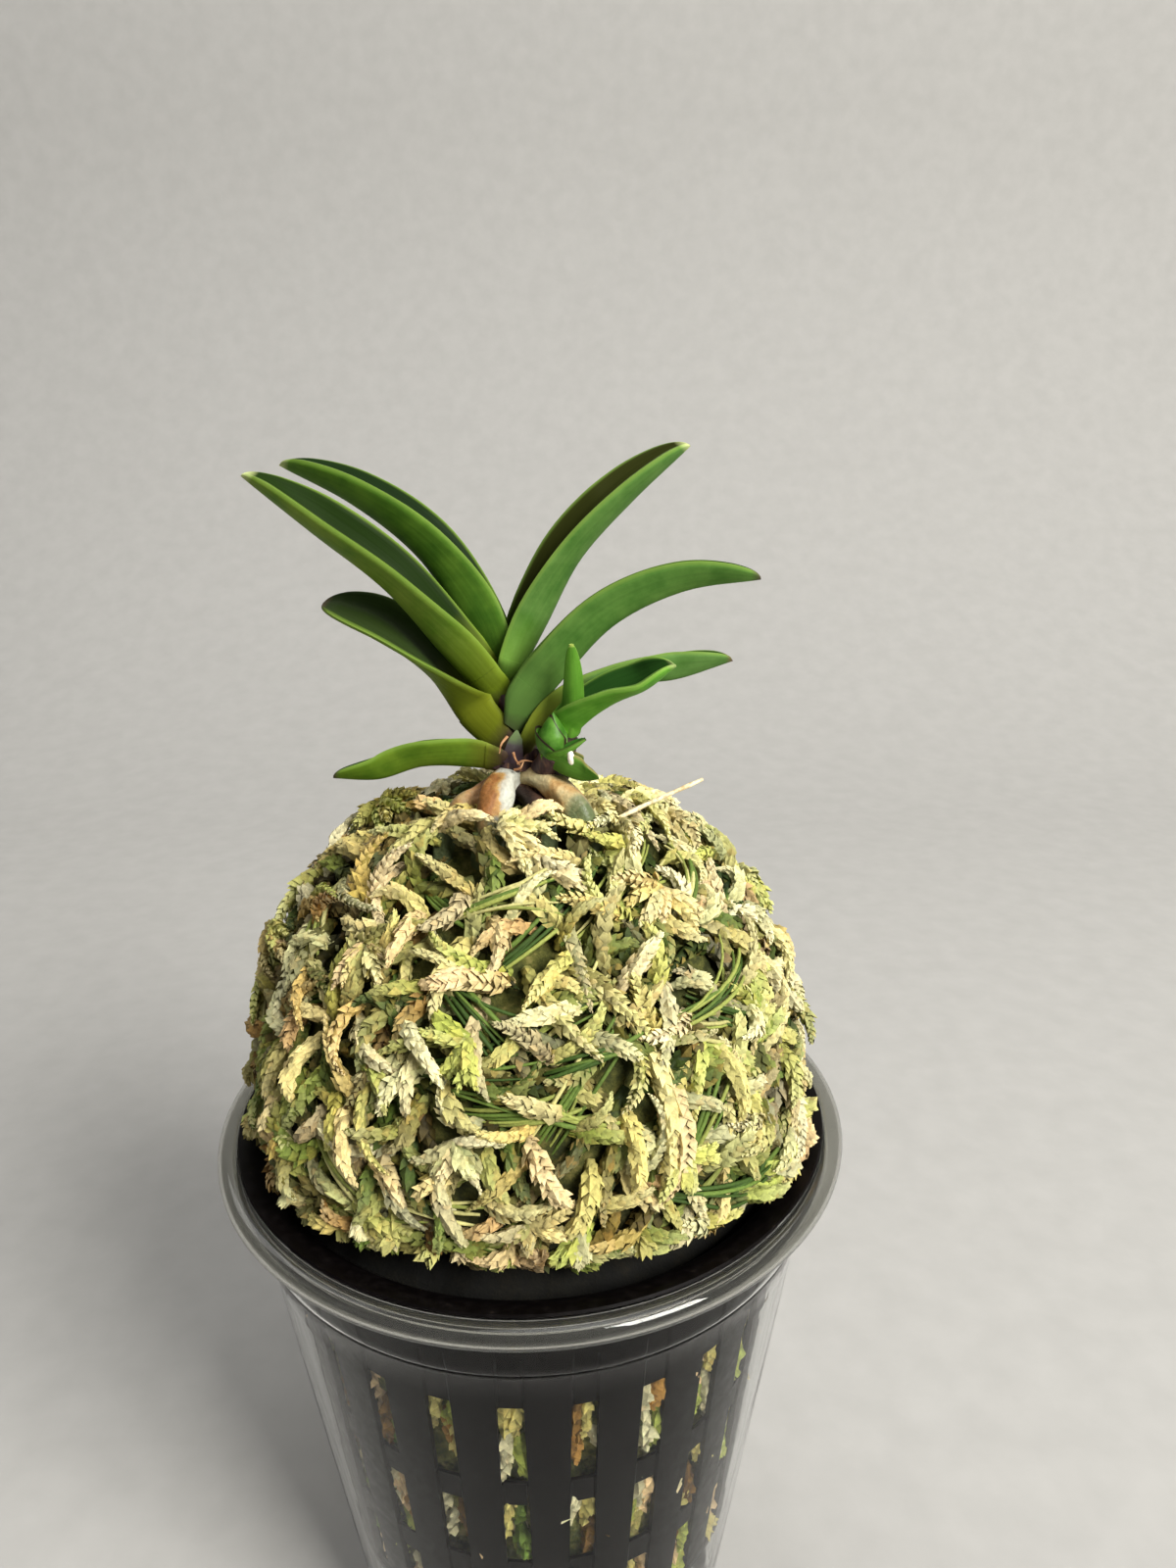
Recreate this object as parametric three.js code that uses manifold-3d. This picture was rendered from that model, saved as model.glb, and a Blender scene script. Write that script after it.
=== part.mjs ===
// A small wind orchid on a dome of sphagnum moss, in a slotted net pot hung in a clear cup.
// Millimetres, +Z up. The origin is the bottom centre of the cup, and -Y is the plant's front.
import * as THREE from 'three';
import { mergeVertices } from 'three/addons/utils/BufferGeometryUtils.js';
import Module from 'manifold-3d';

const wasm = await Module();
wasm.setup();

// Driving dimensions
const GAP = 0.3;
const FINEST = 0.02;
const RIM_RADIUS = 46;
const RIM_Z = 94;
const RIM_BEAD = { halfWidth: 1.75, halfHeight: 1.7 };
const CUP_WALL = { foot: 29.55, slope: 0.135, thickness: 0.6 };
const CUP_LEDGE_Z = 84.8;
const CUP_SIDES = 48;
const POT_WALL = { radius: 37, atZ: 74.6, slope: 0.11, thickness: 0.9 };
const POT_FLOOR_Z = 24;
const POT_LIP = { radius: 44, top: 96.6, thickness: 0.6 };
const SLOT = { perRow: 24, width: 3.6, phase: THREE.MathUtils.degToRad(-92.9) };
const SLOT_ROWS = [[59.5, 74.6], [42.2, 55], [27, 37.8]];
const DOME = { radius: 42.5, rise: 46.5, underside: 13, centreZ: 101, strandDepth: 4.2 };
const STRANDS = 100;
const BLADE = { keel: 1.25, margin: 0.9, tip: 0.6 };

const COLOUR = {
  clearPlastic: '#d9dcda',
  blackPlastic: '#1b191d',
  moss: '#c3bd72',
  stem: '#4a3230',
  offshoot: '#5f7a35',
  leaf: '#4d7a2b',
  youngLeaf: '#6a9a3a',
  silverRoot: '#cfd0c4',
  tanRoot: '#b08a5c',
  darkRoot: '#4c3428',
  straw: '#d8cba0',
};

// Seeded random draw between two limits
let seed = 21;
function draw(low, high) {
  seed = (seed + 0x6d2b79f5) | 0;
  let t = Math.imul(seed ^ (seed >>> 15), 1 | seed);
  t = (t + Math.imul(t ^ (t >>> 7), 61 | t)) ^ t;
  const unit = ((t ^ (t >>> 14)) >>> 0) / 4294967296;
  return low + (high - low) * unit;
}

// Closed mesh to solid, and back
function solid(geometry) {
  geometry.deleteAttribute('normal');
  geometry.deleteAttribute('uv');
  const merged = mergeVertices(geometry, 1e-4);
  return new wasm.Manifold(new wasm.Mesh({
    numProp: 3,
    vertProperties: new Float32Array(merged.attributes.position.array),
    triVerts: new Uint32Array(merged.index.array),
  }));
}

function largestBody(body) {
  const bodies = body.decompose();
  return bodies.reduce((best, one) => (one.volume() > best.volume() ? one : best));
}

function geometryOf(body) {
  const mesh = body.asOriginal().simplify(FINEST).getMesh();
  const geometry = new THREE.BufferGeometry();
  const positions = new THREE.BufferAttribute(new Float32Array(mesh.vertProperties), 3);
  geometry.setAttribute('position', positions);
  geometry.setIndex(new THREE.BufferAttribute(new Uint32Array(mesh.triVerts), 1));
  const flat = geometry.toNonIndexed();
  flat.computeVertexNormals();
  return flat;
}

const plant = new THREE.Group();

function addPiece(name, body, colour, roughness) {
  const material = new THREE.MeshStandardMaterial({ color: colour, roughness, metalness: 0 });
  const mesh = new THREE.Mesh(geometryOf(body), material);
  mesh.name = name;
  plant.add(mesh);
  return mesh;
}

// Turned solid from a profile of [radius, height] pairs
function turned(profile, sides, startAngle) {
  const points = profile.map(([r, z]) => new THREE.Vector2(r, z));
  const geometry = new THREE.LatheGeometry(points, sides);
  geometry.rotateX(Math.PI / 2);
  geometry.rotateZ(startAngle);
  return solid(geometry);
}

// Solid through rings of points that all have the same count, with both ends closed
function loft(rings, capTriangles) {
  const count = rings[0].length;
  const index = [];
  for (let i = 0; i < rings.length - 1; i += 1) {
    for (let j = 0; j < count; j += 1) {
      const a = i * count + j;
      const b = i * count + ((j + 1) % count);
      index.push(a, b, b + count, a, b + count, a + count);
    }
  }
  const last = (rings.length - 1) * count;
  for (const [a, b, c] of capTriangles) {
    index.push(c, b, a, last + a, last + b, last + c);
  }
  const geometry = new THREE.BufferGeometry();
  const coordinates = rings.flat().flatMap((p) => [p.x, p.y, p.z]);
  geometry.setAttribute('position', new THREE.Float32BufferAttribute(coordinates, 3));
  geometry.setIndex(index);
  return solid(geometry);
}

function fanCap(count) {
  return Array.from({ length: count - 2 }, (_, i) => [0, i + 1, i + 2]);
}

// Round-section tube whose radius follows radiusAt(u), u from 0 at its start to 1
function taperedTube(points, radiusAt, sides, steps) {
  const curve = new THREE.CatmullRomCurve3(points);
  const frames = curve.computeFrenetFrames(steps, false);
  const rings = [];
  for (let i = 0; i <= steps; i += 1) {
    const centre = curve.getPointAt(i / steps);
    const radius = radiusAt(i / steps);
    const ring = [];
    for (let j = 0; j < sides; j += 1) {
      const angle = (2 * Math.PI * j) / sides;
      const p = centre.clone();
      p.addScaledVector(frames.normals[i], radius * Math.cos(angle));
      p.addScaledVector(frames.binormals[i], radius * Math.sin(angle));
      ring.push(p);
    }
    rings.push(ring);
  }
  return loft(rings, fanCap(sides));
}

const at = (x, y, z) => new THREE.Vector3(x, y, z);

// Clear cup: thin tapered wall, a foot ring, a stacking ledge and a rolled rim
const cupOuter = (z) => CUP_WALL.foot + CUP_WALL.slope * z;
const cupInner = (z) => cupOuter(z) - CUP_WALL.thickness;
const beadCentre = RIM_RADIUS - RIM_BEAD.halfWidth;
const rimBead = [];
for (let degrees = -90; degrees <= 180; degrees += 30) {
  const angle = THREE.MathUtils.degToRad(degrees);
  rimBead.push([
    beadCentre + RIM_BEAD.halfWidth * Math.cos(angle),
    RIM_Z + RIM_BEAD.halfHeight * Math.sin(angle),
  ]);
}
const footRing = { inner: 26.3, outer: 29.2, rise: 1.5 };
const clearCup = turned([
  [0, footRing.rise],
  [footRing.inner - 0.8, footRing.rise],
  [footRing.inner, 0],
  [footRing.outer, 0],
  [cupOuter(0.5), 0.5],
  [cupOuter(CUP_LEDGE_Z - 1), CUP_LEDGE_Z - 1],
  [41.6, CUP_LEDGE_Z - 0.3],
  [41.6, CUP_LEDGE_Z + 0.4],
  [42.5, RIM_Z - 1.9],
  ...rimBead,
  [41.9, RIM_Z - 2],
  [40.8, CUP_LEDGE_Z],
  [cupInner(CUP_LEDGE_Z - 1), CUP_LEDGE_Z - 1],
  [cupInner(footRing.rise + 1), footRing.rise + 0.7],
  [0, footRing.rise + 0.7],
], CUP_SIDES, 0);
addPiece('clear_cup', clearCup, COLOUR.clearPlastic, 0.1);

// Net pot: black tapered basket whose lip rests on the cup's rim, with rows of upright slots
const potOuter = (z) => POT_WALL.radius + POT_WALL.slope * (z - POT_WALL.atZ);
const potInner = (z) => potOuter(z) - POT_WALL.thickness;
const throatZ = RIM_Z - 2;
const lipUnder = POT_LIP.top - POT_LIP.thickness;
const potSides = 2 * SLOT.perRow;
const potPhase = SLOT.phase + Math.PI / 2 + Math.PI / potSides;
let netPot = turned([
  [0, POT_FLOOR_Z],
  [potOuter(POT_FLOOR_Z), POT_FLOOR_Z],
  [potOuter(throatZ), throatZ],
  [42.3, lipUnder],
  [POT_LIP.radius, lipUnder],
  [POT_LIP.radius, POT_LIP.top],
  [42, POT_LIP.top],
  [potInner(throatZ) + 0.1, throatZ + 0.4],
  [potInner(POT_FLOOR_Z + 1), POT_FLOOR_Z + 1],
  [0, POT_FLOOR_Z + 1],
], potSides, potPhase);

// Block that leans with the pot's wall and cuts one slot through it
function slotBlock(low, high, angle) {
  const block = new THREE.BoxGeometry(4, SLOT.width, high - low);
  block.rotateY(Math.atan(POT_WALL.slope));
  block.translate(potOuter((low + high) / 2), 0, (low + high) / 2);
  block.rotateZ(angle);
  return solid(block);
}
for (let i = 0; i < SLOT.perRow; i += 1) {
  const angle = SLOT.phase + (2 * Math.PI * i) / SLOT.perRow;
  for (const [low, high] of SLOT_ROWS) {
    netPot = netPot.subtract(slotBlock(low, high, angle));
  }
}
addPiece('net_pot', netPot, COLOUR.blackPlastic, 0.45);

// Leaves. A blade is folded along its keel into a V. Its keel is a curve of [x, y, z] points from
// the stem to the tip, halfWidth is the slant width of each half, fold is half the V's angle and
// roll turns the V towards the front, both in degrees from base to tip. joint is where along the
// keel the blade parts from its sheath.
const LEAVES = {
  leaf_left_1: {
    keel: [[-2.8, 3, 158.9], [-5.4, 3.1, 164.2], [-8.5, 3.3, 169.3], [-11.8, 3.4, 174.2],
      [-15.2, 3.6, 179.1], [-19.8, 3.7, 182.8], [-25.3, 3.9, 185.6], [-30, 4, 188.9]],
    halfWidth: 5.7, base: 0.6, taper: [2.2, 0.42], fold: [22, 20], roll: [-12, 30], joint: 0.1,
  },
  leaf_right_1: {
    keel: [[-1.4, 3, 158.7], [1.7, 3.1, 163.5], [3.9, 3.3, 168.8], [6.5, 3.4, 173.9],
      [9.8, 3.6, 178.6], [13.7, 3.7, 182.7], [18.2, 3.8, 186.3], [21.9, 4, 190.5]],
    halfWidth: 5.8, base: 0.84, taper: [2.1, 0.4], fold: [38, 32], roll: [0, 27], joint: 0.1,
  },
  leaf_left_2: {
    keel: [[-3.2, 0, 156.4], [-7.4, -0.5, 161.1], [-11.1, -1.1, 166.2], [-15.1, -1.6, 171],
      [-19.1, -2.2, 175.9], [-23.7, -2.8, 180], [-29, -3.4, 183.4], [-33.4, -4, 188.1]],
    halfWidth: 5.9, base: 0.83, taper: [2.1, 0.42], fold: [42, 38], roll: [-14, 28], joint: 0.12,
  },
  leaf_right_2: {
    keel: [[0, 0, 153.4], [3, -0.5, 158.1], [6.6, -1.1, 162.4], [10.3, -1.6, 166.6],
      [14.6, -2.2, 170.3], [19.5, -2.8, 172.9], [25.1, -3.4, 173.7], [30.4, -4, 175.1]],
    halfWidth: 5.4, base: 0.7, taper: [2.1, 0.42], fold: [16, 38], roll: [-4, -9], joint: 0.16,
  },
  leaf_left_3: {
    keel: [[-4.5, 0, 150], [-7.8, 0.5, 153.8], [-10.3, 1, 158.1], [-13.9, 1.5, 161.7],
      [-18, 2, 164.7], [-22.1, 2.5, 167.5], [-26, 3, 170.6]],
    halfWidth: 5.2, base: 1, taper: [3.2, 0.45], fold: [26, 46], roll: [2, 38], joint: 0.24,
  },
  leaf_right_3: {
    keel: [[0, 2, 149.2], [3.3, 2.7, 153.7], [7.3, 3.3, 157.5], [12.6, 4, 158.7],
      [18.1, 4.7, 159.4], [23.6, 5.3, 160.1], [28.4, 6, 162]],
    halfWidth: 4.6, base: 1, taper: [3.6, 0.6], fold: [34, 34], roll: [20, -6], joint: 0.26,
  },
  leaf_left_4: {
    keel: [[-1.8, -2, 148.5], [-6.2, -2.8, 150.1], [-10.9, -3.6, 150.5], [-15.5, -4.4, 149.9],
      [-20.1, -5.2, 148.8], [-24.6, -6, 149.6]],
    halfWidth: 4.2, base: 0.6, taper: [4, 0.5], fold: [25, 38], roll: [-3, 3], joint: 0.2,
  },
  offshoot_leaf_long: {
    keel: [[5.6, -5, 152.9], [8, -5.8, 155.7], [10.5, -6.5, 158.6], [13.8, -7.3, 160.5],
      [17, -8.2, 162.4], [19.8, -9, 165]],
    halfWidth: 3.9, base: 1, taper: [3, 0.6], fold: [38, 55], roll: [-12, 16], joint: 0.14,
  },
  offshoot_leaf_upright: {
    keel: [[6.2, -6.2, 154], [6.1, -6.5, 157.5], [6.1, -6.8, 161.2], [6.6, -7, 165]],
    halfWidth: 1.9, base: 0.9, taper: [2, 0.6], fold: [50, 50], roll: [-70, -60], joint: 0.12,
  },
  offshoot_leaf_stub: {
    keel: [[3.8, -5.6, 150.1], [6.6, -6.8, 149.7], [9.8, -7.6, 150.2]],
    halfWidth: 2.5, base: 0.8, taper: [3, 0.5], fold: [40, 40], roll: [10, 10], joint: 0.08,
  },
};

// Solid of a stretch of folded leaf, from u = from to u = to along its keel.
// grow thickens it all round, for the clearance that it needs in its neighbours.
function foldedLeaf(leaf, from, to, steps, grow) {
  const curve = new THREE.CatmullRomCurve3(leaf.keel.map(([x, y, z]) => at(x, y, z)));
  const side = Math.sign(leaf.keel.at(-1)[0] - leaf.keel[0][0]);
  const across = at(0, side, 0);
  const lerp = THREE.MathUtils.lerp;
  const rings = [];
  for (let i = 0; i <= steps; i += 1) {
    const u = lerp(from, to, i / steps);
    const tangent = curve.getTangentAt(u);
    const opening = tangent.clone().cross(across).normalize();
    const towardFront = opening.clone().cross(tangent).normalize();
    towardFront.multiplyScalar(-Math.sign(towardFront.y));
    const roll = THREE.MathUtils.degToRad(lerp(leaf.roll[0], leaf.roll[1], u));
    const fold = THREE.MathUtils.degToRad(lerp(leaf.fold[0], leaf.fold[1], u));
    const alongFold = opening.clone().multiplyScalar(Math.cos(roll));
    alongFold.addScaledVector(towardFront, Math.sin(roll));
    const acrossFold = towardFront.clone().multiplyScalar(Math.cos(roll));
    acrossFold.addScaledVector(opening, -Math.sin(roll));
    const swell = leaf.base + (1 - leaf.base) * Math.sin(Math.min(u / 0.35, 1) * (Math.PI / 2));
    const narrowing = Math.max(1 - u ** leaf.taper[0], 0) ** leaf.taper[1];
    const width = Math.max(leaf.halfWidth * swell * narrowing, 0.4) + 2.2 * grow;
    const centre = curve.getPointAt(u);
    centre.addScaledVector(alongFold, -Math.min(1 / Math.sin(fold), 2) * grow);
    const inside = [];
    const outside = [];
    for (const f of [-1, -0.5, 0, 0.5, 1]) {
      const part = Math.abs(f);
      const full = lerp(BLADE.keel, BLADE.margin, part);
      const thick = Math.min(full, BLADE.tip + 0.25 * width) + 2 * grow;
      const bulge = 0.06 * width * Math.sin(Math.PI * part);
      const outAlong = width * part * Math.cos(fold) - bulge * Math.sin(fold);
      const outAcross = width * part * Math.sin(fold) + bulge * Math.cos(fold);
      const keelInside = Math.min(thick / Math.sin(fold), 0.5 * width + thick * Math.sin(fold) - 0.1);
      const inAlong = part === 0 ? keelInside : outAlong + thick * Math.sin(fold);
      const inAcross = Math.max(outAcross - thick * Math.cos(fold), 0.08 * part);
      const place = (along, wide) => centre.clone().addScaledVector(alongFold, along)
        .addScaledVector(acrossFold, Math.sign(f) * wide);
      outside.push(place(outAlong, outAcross));
      inside.push(place(inAlong, inAcross));
    }
    const ring = [...outside, ...inside.reverse()];
    rings.push(side < 0 ? ring : ring.reverse());
  }
  const cap = [];
  for (let j = 0; j < 4; j += 1) {
    cap.push([j, j + 1, 8 - j], [j, 8 - j, 9 - j]);
  }
  return loft(rings, cap);
}

const leafLength = (leaf) => new THREE.CatmullRomCurve3(
  leaf.keel.map(([x, y, z]) => at(x, y, z)),
).getLength();

function sheath(leaf, grow) {
  return foldedLeaf(leaf, 0, leaf.joint, 2, 0.12 + grow);
}

function blade(leaf, grow, steps) {
  const start = leaf.joint + (GAP - grow) / leafLength(leaf);
  return foldedLeaf(leaf, start, 1, steps, grow);
}

// Stem: a short dark column wrapped by the sheaths that its leaves grew from
const stemRadius = (u) => 3.2 - 0.9 * u;
function stemColumn(grow) {
  const points = [at(-0.7, 0, 138.5 - grow), at(-0.6, 0, 148), at(-0.8, 0.8, 153), at(-1.6, 1.6, 159 + grow)];
  return taperedTube(points, (u) => stemRadius(u) + grow, 10, 6);
}
const fanLeaves = Object.keys(LEAVES).filter((name) => name.startsWith('leaf_'));
const offshootLeaves = Object.keys(LEAVES).filter((name) => name.startsWith('offshoot_'));
function stemBody(grow) {
  return fanLeaves.reduce((body, name) => body.add(sheath(LEAVES[name], grow)), stemColumn(grow));
}

// Offshoot: a young plant at the front of the stem's foot, with its own short stem and bud
function offshootBody(grow) {
  const stem = [at(3, -5, 144), at(4.2, -5.6, 148.5), at(5.4, -5.8, 152), at(6, -6, 155 + grow)];
  const bud = [at(4.4, -7.2, 149), at(4.7, -7.9, 152), at(4.9, -7.8, 154), at(5, -7.4, 156.8 + grow)];
  const column = taperedTube(stem, (u) => 2 - 0.5 * u + grow, 8, 5);
  const budBody = taperedTube(bud, (u) => 0.5 + 1.6 * Math.sin(Math.PI * (0.2 + 0.75 * u)) + grow, 8, 6);
  return offshootLeaves.reduce(
    (body, name) => body.add(sheath(LEAVES[name], grow)),
    column.add(budBody),
  );
}

// Roots: thick and pale, from the stem's foot over the moss and down into it
const ROOTS = {
  root_front: {
    path: [at(-2.2, -1.6, 149.4), at(-3, -5, 148.9), at(-3.8, -8.6, 147.2), at(-4.2, -11.4, 144),
      at(-4.5, -12.2, 138)],
    radius: 2.45,
    colour: COLOUR.silverRoot,
  },
  root_right: {
    path: [at(1.2, -3, 149), at(3, -4.8, 148.9), at(5, -7, 148.3), at(6.8, -9.4, 146.4),
      at(7.6, -11, 143.4), at(7.9, -11.6, 138)],
    radius: 2.2,
    colour: COLOUR.tanRoot,
  },
  root_small: {
    path: [at(-0.2, -3.6, 147.6), at(0.9, -7, 146.7), at(1.9, -9.8, 144.8), at(2.3, -10.8, 139.5)],
    radius: 1.4,
    colour: COLOUR.darkRoot,
  },
  root_left: {
    path: [at(-2.6, -3, 147.4), at(-5.6, -5, 146.8), at(-7.8, -6.7, 145.8), at(-9.4, -8.4, 144.2),
      at(-10.4, -9.6, 138.5)],
    radius: 1.6,
    colour: COLOUR.tanRoot,
  },
};
function rootBody(root, grow) {
  const fullness = (u) => root.radius * (0.82 + 0.18 * Math.sin(Math.PI * u));
  return taperedTube(root.path, (u) => fullness(u) + grow, 10, 8);
}

// Dry straw stuck in the moss
function strawBody(grow) {
  const section = new THREE.Shape();
  for (let j = 0; j < 6; j += 1) {
    const angle = (Math.PI * j) / 3;
    const method = j === 0 ? 'moveTo' : 'lineTo';
    section[method]((0.35 + grow) * Math.cos(angle), (0.35 + grow) * Math.sin(angle));
  }
  const path = new THREE.CatmullRomCurve3([at(7, -9.2, 141.8), at(15.6, -6.4, 145.3), at(24, -4, 148.3)]);
  return solid(new THREE.ExtrudeGeometry(section, { steps: 4, bevelEnabled: false, extrudePath: path }));
}

// The plant's pieces from the inside out: each is cut clear of those already placed
const placed = [];
function place(name, exact, grown, colour, roughness) {
  const cleared = placed.reduce((body, other) => body.subtract(other), exact);
  addPiece(name, largestBody(cleared), colour, roughness);
  placed.push(grown);
}
place('stem', stemBody(0), stemBody(GAP), COLOUR.stem, 0.6);
for (const name of fanLeaves) {
  place(name, blade(LEAVES[name], 0, 13), blade(LEAVES[name], GAP, 13), COLOUR.leaf, 0.4);
}
place('offshoot_stem', offshootBody(0), offshootBody(GAP), COLOUR.offshoot, 0.5);
for (const name of offshootLeaves) {
  place(name, blade(LEAVES[name], 0, 8), blade(LEAVES[name], GAP, 8), COLOUR.youngLeaf, 0.4);
}
for (const [name, root] of Object.entries(ROOTS)) {
  place(name, rootBody(root, 0), rootBody(root, GAP), root.colour, 0.7);
}
place('straw', strawBody(0), strawBody(GAP), COLOUR.straw, 0.8);

// Moss: a packed core that fills the pot and rises as a dome, covered with leafy strands.
// polar is 0 at the dome's top, and goes past a right angle under its overhang.
function domePoint(polar, turn, lift) {
  const flat = DOME.radius - DOME.strandDepth + lift;
  const rise = polar < Math.PI / 2 ? DOME.rise - DOME.strandDepth + lift : DOME.underside;
  return at(
    flat * Math.sin(polar) * Math.cos(turn),
    flat * Math.sin(polar) * Math.sin(turn),
    DOME.centreZ + rise * Math.cos(polar),
  );
}
const throatPolar = 2.08;
const mossCoreProfile = [[0, POT_FLOOR_Z + 1.4]];
mossCoreProfile.push([potInner(POT_FLOOR_Z + 1.4) - 0.4, POT_FLOOR_Z + 1.4]);
mossCoreProfile.push([potInner(88) - 0.4, 88]);
for (let i = 0; i <= 9; i += 1) {
  const p = domePoint(throatPolar * (1 - i / 9), 0, 0);
  mossCoreProfile.push([i === 9 ? 0 : p.x, p.z]);
}
let moss = turned(mossCoreProfile, SLOT.perRow, potPhase);

// One strand: a leafy moss branch with a pointed tip. Its three-sided body is pinched in
// between its whorls of leaves, and it rises out of the core, arches over it and tips down.
function mossStrand(polar, turn, heading, length, width) {
  const steps = 4;
  const curl = draw(-0.9, 0.9);
  const height = draw(1.6, 3);
  const flick = draw(-0.8, 1.8);
  const points = [];
  let strandPolar = polar;
  let strandTurn = turn;
  let strandHeading = heading;
  for (let i = 0; i <= steps; i += 1) {
    const u = i / steps;
    const lift = (height + 0.6) * Math.sin(Math.PI * Math.min(0.1 + u, 0.75)) - 0.6 + flick * u * u;
    points.push(domePoint(strandPolar, strandTurn, lift));
    strandPolar += ((length / steps) * Math.cos(strandHeading)) / DOME.radius;
    const circle = Math.max(DOME.radius * Math.sin(strandPolar), 6);
    strandTurn += ((length / steps) * Math.sin(strandHeading)) / circle;
    strandHeading += curl / steps;
  }
  const whorl = (u) => (Math.round(u * steps) % 2 === 0 ? 0.86 : 1.08);
  const point = (u) => Math.max(1 - Math.abs(1.6 * u - 0.6) ** 4, 0.12);
  return taperedTube(points, (u) => (width / 2) * whorl(u) * point(u), 3, steps);
}
const goldenAngle = Math.PI * (3 - Math.sqrt(5));
const lowestPolar = 1.85;
for (let i = 0; i < STRANDS; i += 1) {
  const share = (i + 0.5) / STRANDS;
  const polar = Math.acos(1 - share * (1 - Math.cos(lowestPolar))) + draw(-0.03, 0.03);
  const turn = i * goldenAngle + draw(-0.05, 0.05);
  const hang = polar > 0.9 ? draw(-0.8, 0.8) : draw(-2.6, 2.6);
  const heading = draw(0, 1) < 0.6 ? hang : Math.PI / 2 + draw(-0.5, 0.5);
  const room = THREE.MathUtils.clamp((lowestPolar + 0.2 - polar) * DOME.radius, 9, 30);
  const length = Math.min(draw(14, 22), heading === hang ? room : 22);
  moss = moss.add(mossStrand(Math.min(polar, 1.7), turn, heading, length, draw(4.8, 6)));
}

// The moss keeps clear of the pot's wall and lip, and the plant stands in plain holes in it
const keepOut = turned([
  [potInner(70) - 0.4, 70],
  [60, 70],
  [60, POT_LIP.top + GAP],
  [41.6, POT_LIP.top + GAP],
  [potInner(throatZ) - 0.4, throatZ],
  [potInner(70) - 0.4, 70],
], potSides, potPhase);
moss = placed.reduce((body, other) => body.subtract(other), moss.subtract(keepOut));
addPiece('moss', largestBody(moss), COLOUR.moss, 0.95);

export default plant;
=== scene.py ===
import math

import bpy
import numpy as np
from mathutils import Matrix, Vector


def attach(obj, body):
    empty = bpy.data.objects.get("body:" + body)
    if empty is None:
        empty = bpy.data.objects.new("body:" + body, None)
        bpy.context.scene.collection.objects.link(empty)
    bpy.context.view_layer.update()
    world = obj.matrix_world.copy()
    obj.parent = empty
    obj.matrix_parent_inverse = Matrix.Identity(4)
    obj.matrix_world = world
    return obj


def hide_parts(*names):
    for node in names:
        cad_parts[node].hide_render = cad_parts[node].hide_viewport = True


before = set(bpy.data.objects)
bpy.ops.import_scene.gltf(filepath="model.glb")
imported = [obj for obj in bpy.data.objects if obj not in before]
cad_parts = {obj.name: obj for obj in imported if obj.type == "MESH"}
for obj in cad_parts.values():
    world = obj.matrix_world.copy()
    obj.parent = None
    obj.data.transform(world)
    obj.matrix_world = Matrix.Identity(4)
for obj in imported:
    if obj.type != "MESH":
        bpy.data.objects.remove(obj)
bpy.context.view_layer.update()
MM = 0.001

# ---------------------------------------------------------------------------------------------
# Camera: a phone's wide lens, held a little above the plant and 15 cm in front of it, tipped
# down by 20 degrees.
CAMERA_PLACE = (8.74, -151.02, 201.18)
CAMERA_DOWN = math.radians(19.97)
CAMERA_ROLL = math.radians(-0.47)
lens = bpy.data.cameras.new("phone_lens")
lens.sensor_width, lens.lens = 36.0, 27.0
lens.clip_start, lens.clip_end = 0.01, 20.0
camera = bpy.data.objects.new("camera", lens)
bpy.context.scene.collection.objects.link(camera)
stand = Matrix.Translation([MM * value for value in CAMERA_PLACE])
tip_down = Matrix.Rotation(math.pi / 2 - CAMERA_DOWN, 4, "X")
camera.matrix_world = stand @ tip_down @ Matrix.Rotation(CAMERA_ROLL, 4, "Z")
bpy.context.scene.camera = camera
# Plain display colours, with no film curve.
bpy.context.scene.view_settings.view_transform = "Standard"

# ---------------------------------------------------------------------------------------------
# Clear cup: a thin drinking cup of clear PET, thermoformed, which holds the net pot by its
# rolled rim. It has a foot ring, a drawn tapered wall and a stacking ledge under the rim.
CUP_SIDES, CUP_WALL_ROWS = 192, 18
RIM_RADIUS, RIM_Z = 46.0, 94.0
BEAD_HALF_WIDTH, BEAD_HALF_HEIGHT = 1.75, 1.7
CUP_FOOT, CUP_SLOPE, CUP_THICKNESS = 29.55, 0.135, 0.6
CUP_LEDGE_Z, CUP_WALL_TOP = 84.8, 83.4


def piece(name, points, faces, sharp=40.0):
    """Object from points in millimetres and face rows of point numbers, one array for each
    number of corners. Edges that turn by more than sharp degrees stay crisp."""
    mesh = bpy.data.meshes.new(name)
    sizes = np.concatenate([np.full(len(rows), rows.shape[1]) for rows in faces])
    mesh.vertices.add(len(points))
    mesh.vertices.foreach_set("co", (np.asarray(points) * MM).astype(np.float32).ravel())
    mesh.loops.add(int(sizes.sum()))
    corners = np.concatenate([rows.ravel() for rows in faces]).astype(np.int32)
    mesh.loops.foreach_set("vertex_index", corners)
    mesh.polygons.add(len(sizes))
    starts = np.concatenate([[0], np.cumsum(sizes)[:-1]]).astype(np.int32)
    mesh.polygons.foreach_set("loop_start", starts)
    mesh.update(calc_edges=True)
    mesh.validate()
    mesh.shade_smooth()
    mesh.set_sharp_from_angle(angle=math.radians(sharp))
    made = bpy.data.objects.new(name, mesh)
    bpy.context.scene.collection.objects.link(made)
    return made


def grid_faces(rows, columns, start=0, around=True):
    """Quads that join neighbouring rows of points; around closes each row into a ring."""
    i, j = np.meshgrid(np.arange(rows - 1), np.arange(columns if around else columns - 1))
    i, j = i.ravel(), j.ravel()
    k = (j + 1) % columns
    corners = [i * columns + j, i * columns + k, (i + 1) * columns + k, (i + 1) * columns + j]
    return start + np.stack(corners, axis=1)


def circle(sides):
    """Even angles round a full turn."""
    return np.arange(sides) * (2 * math.pi / sides)


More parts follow.
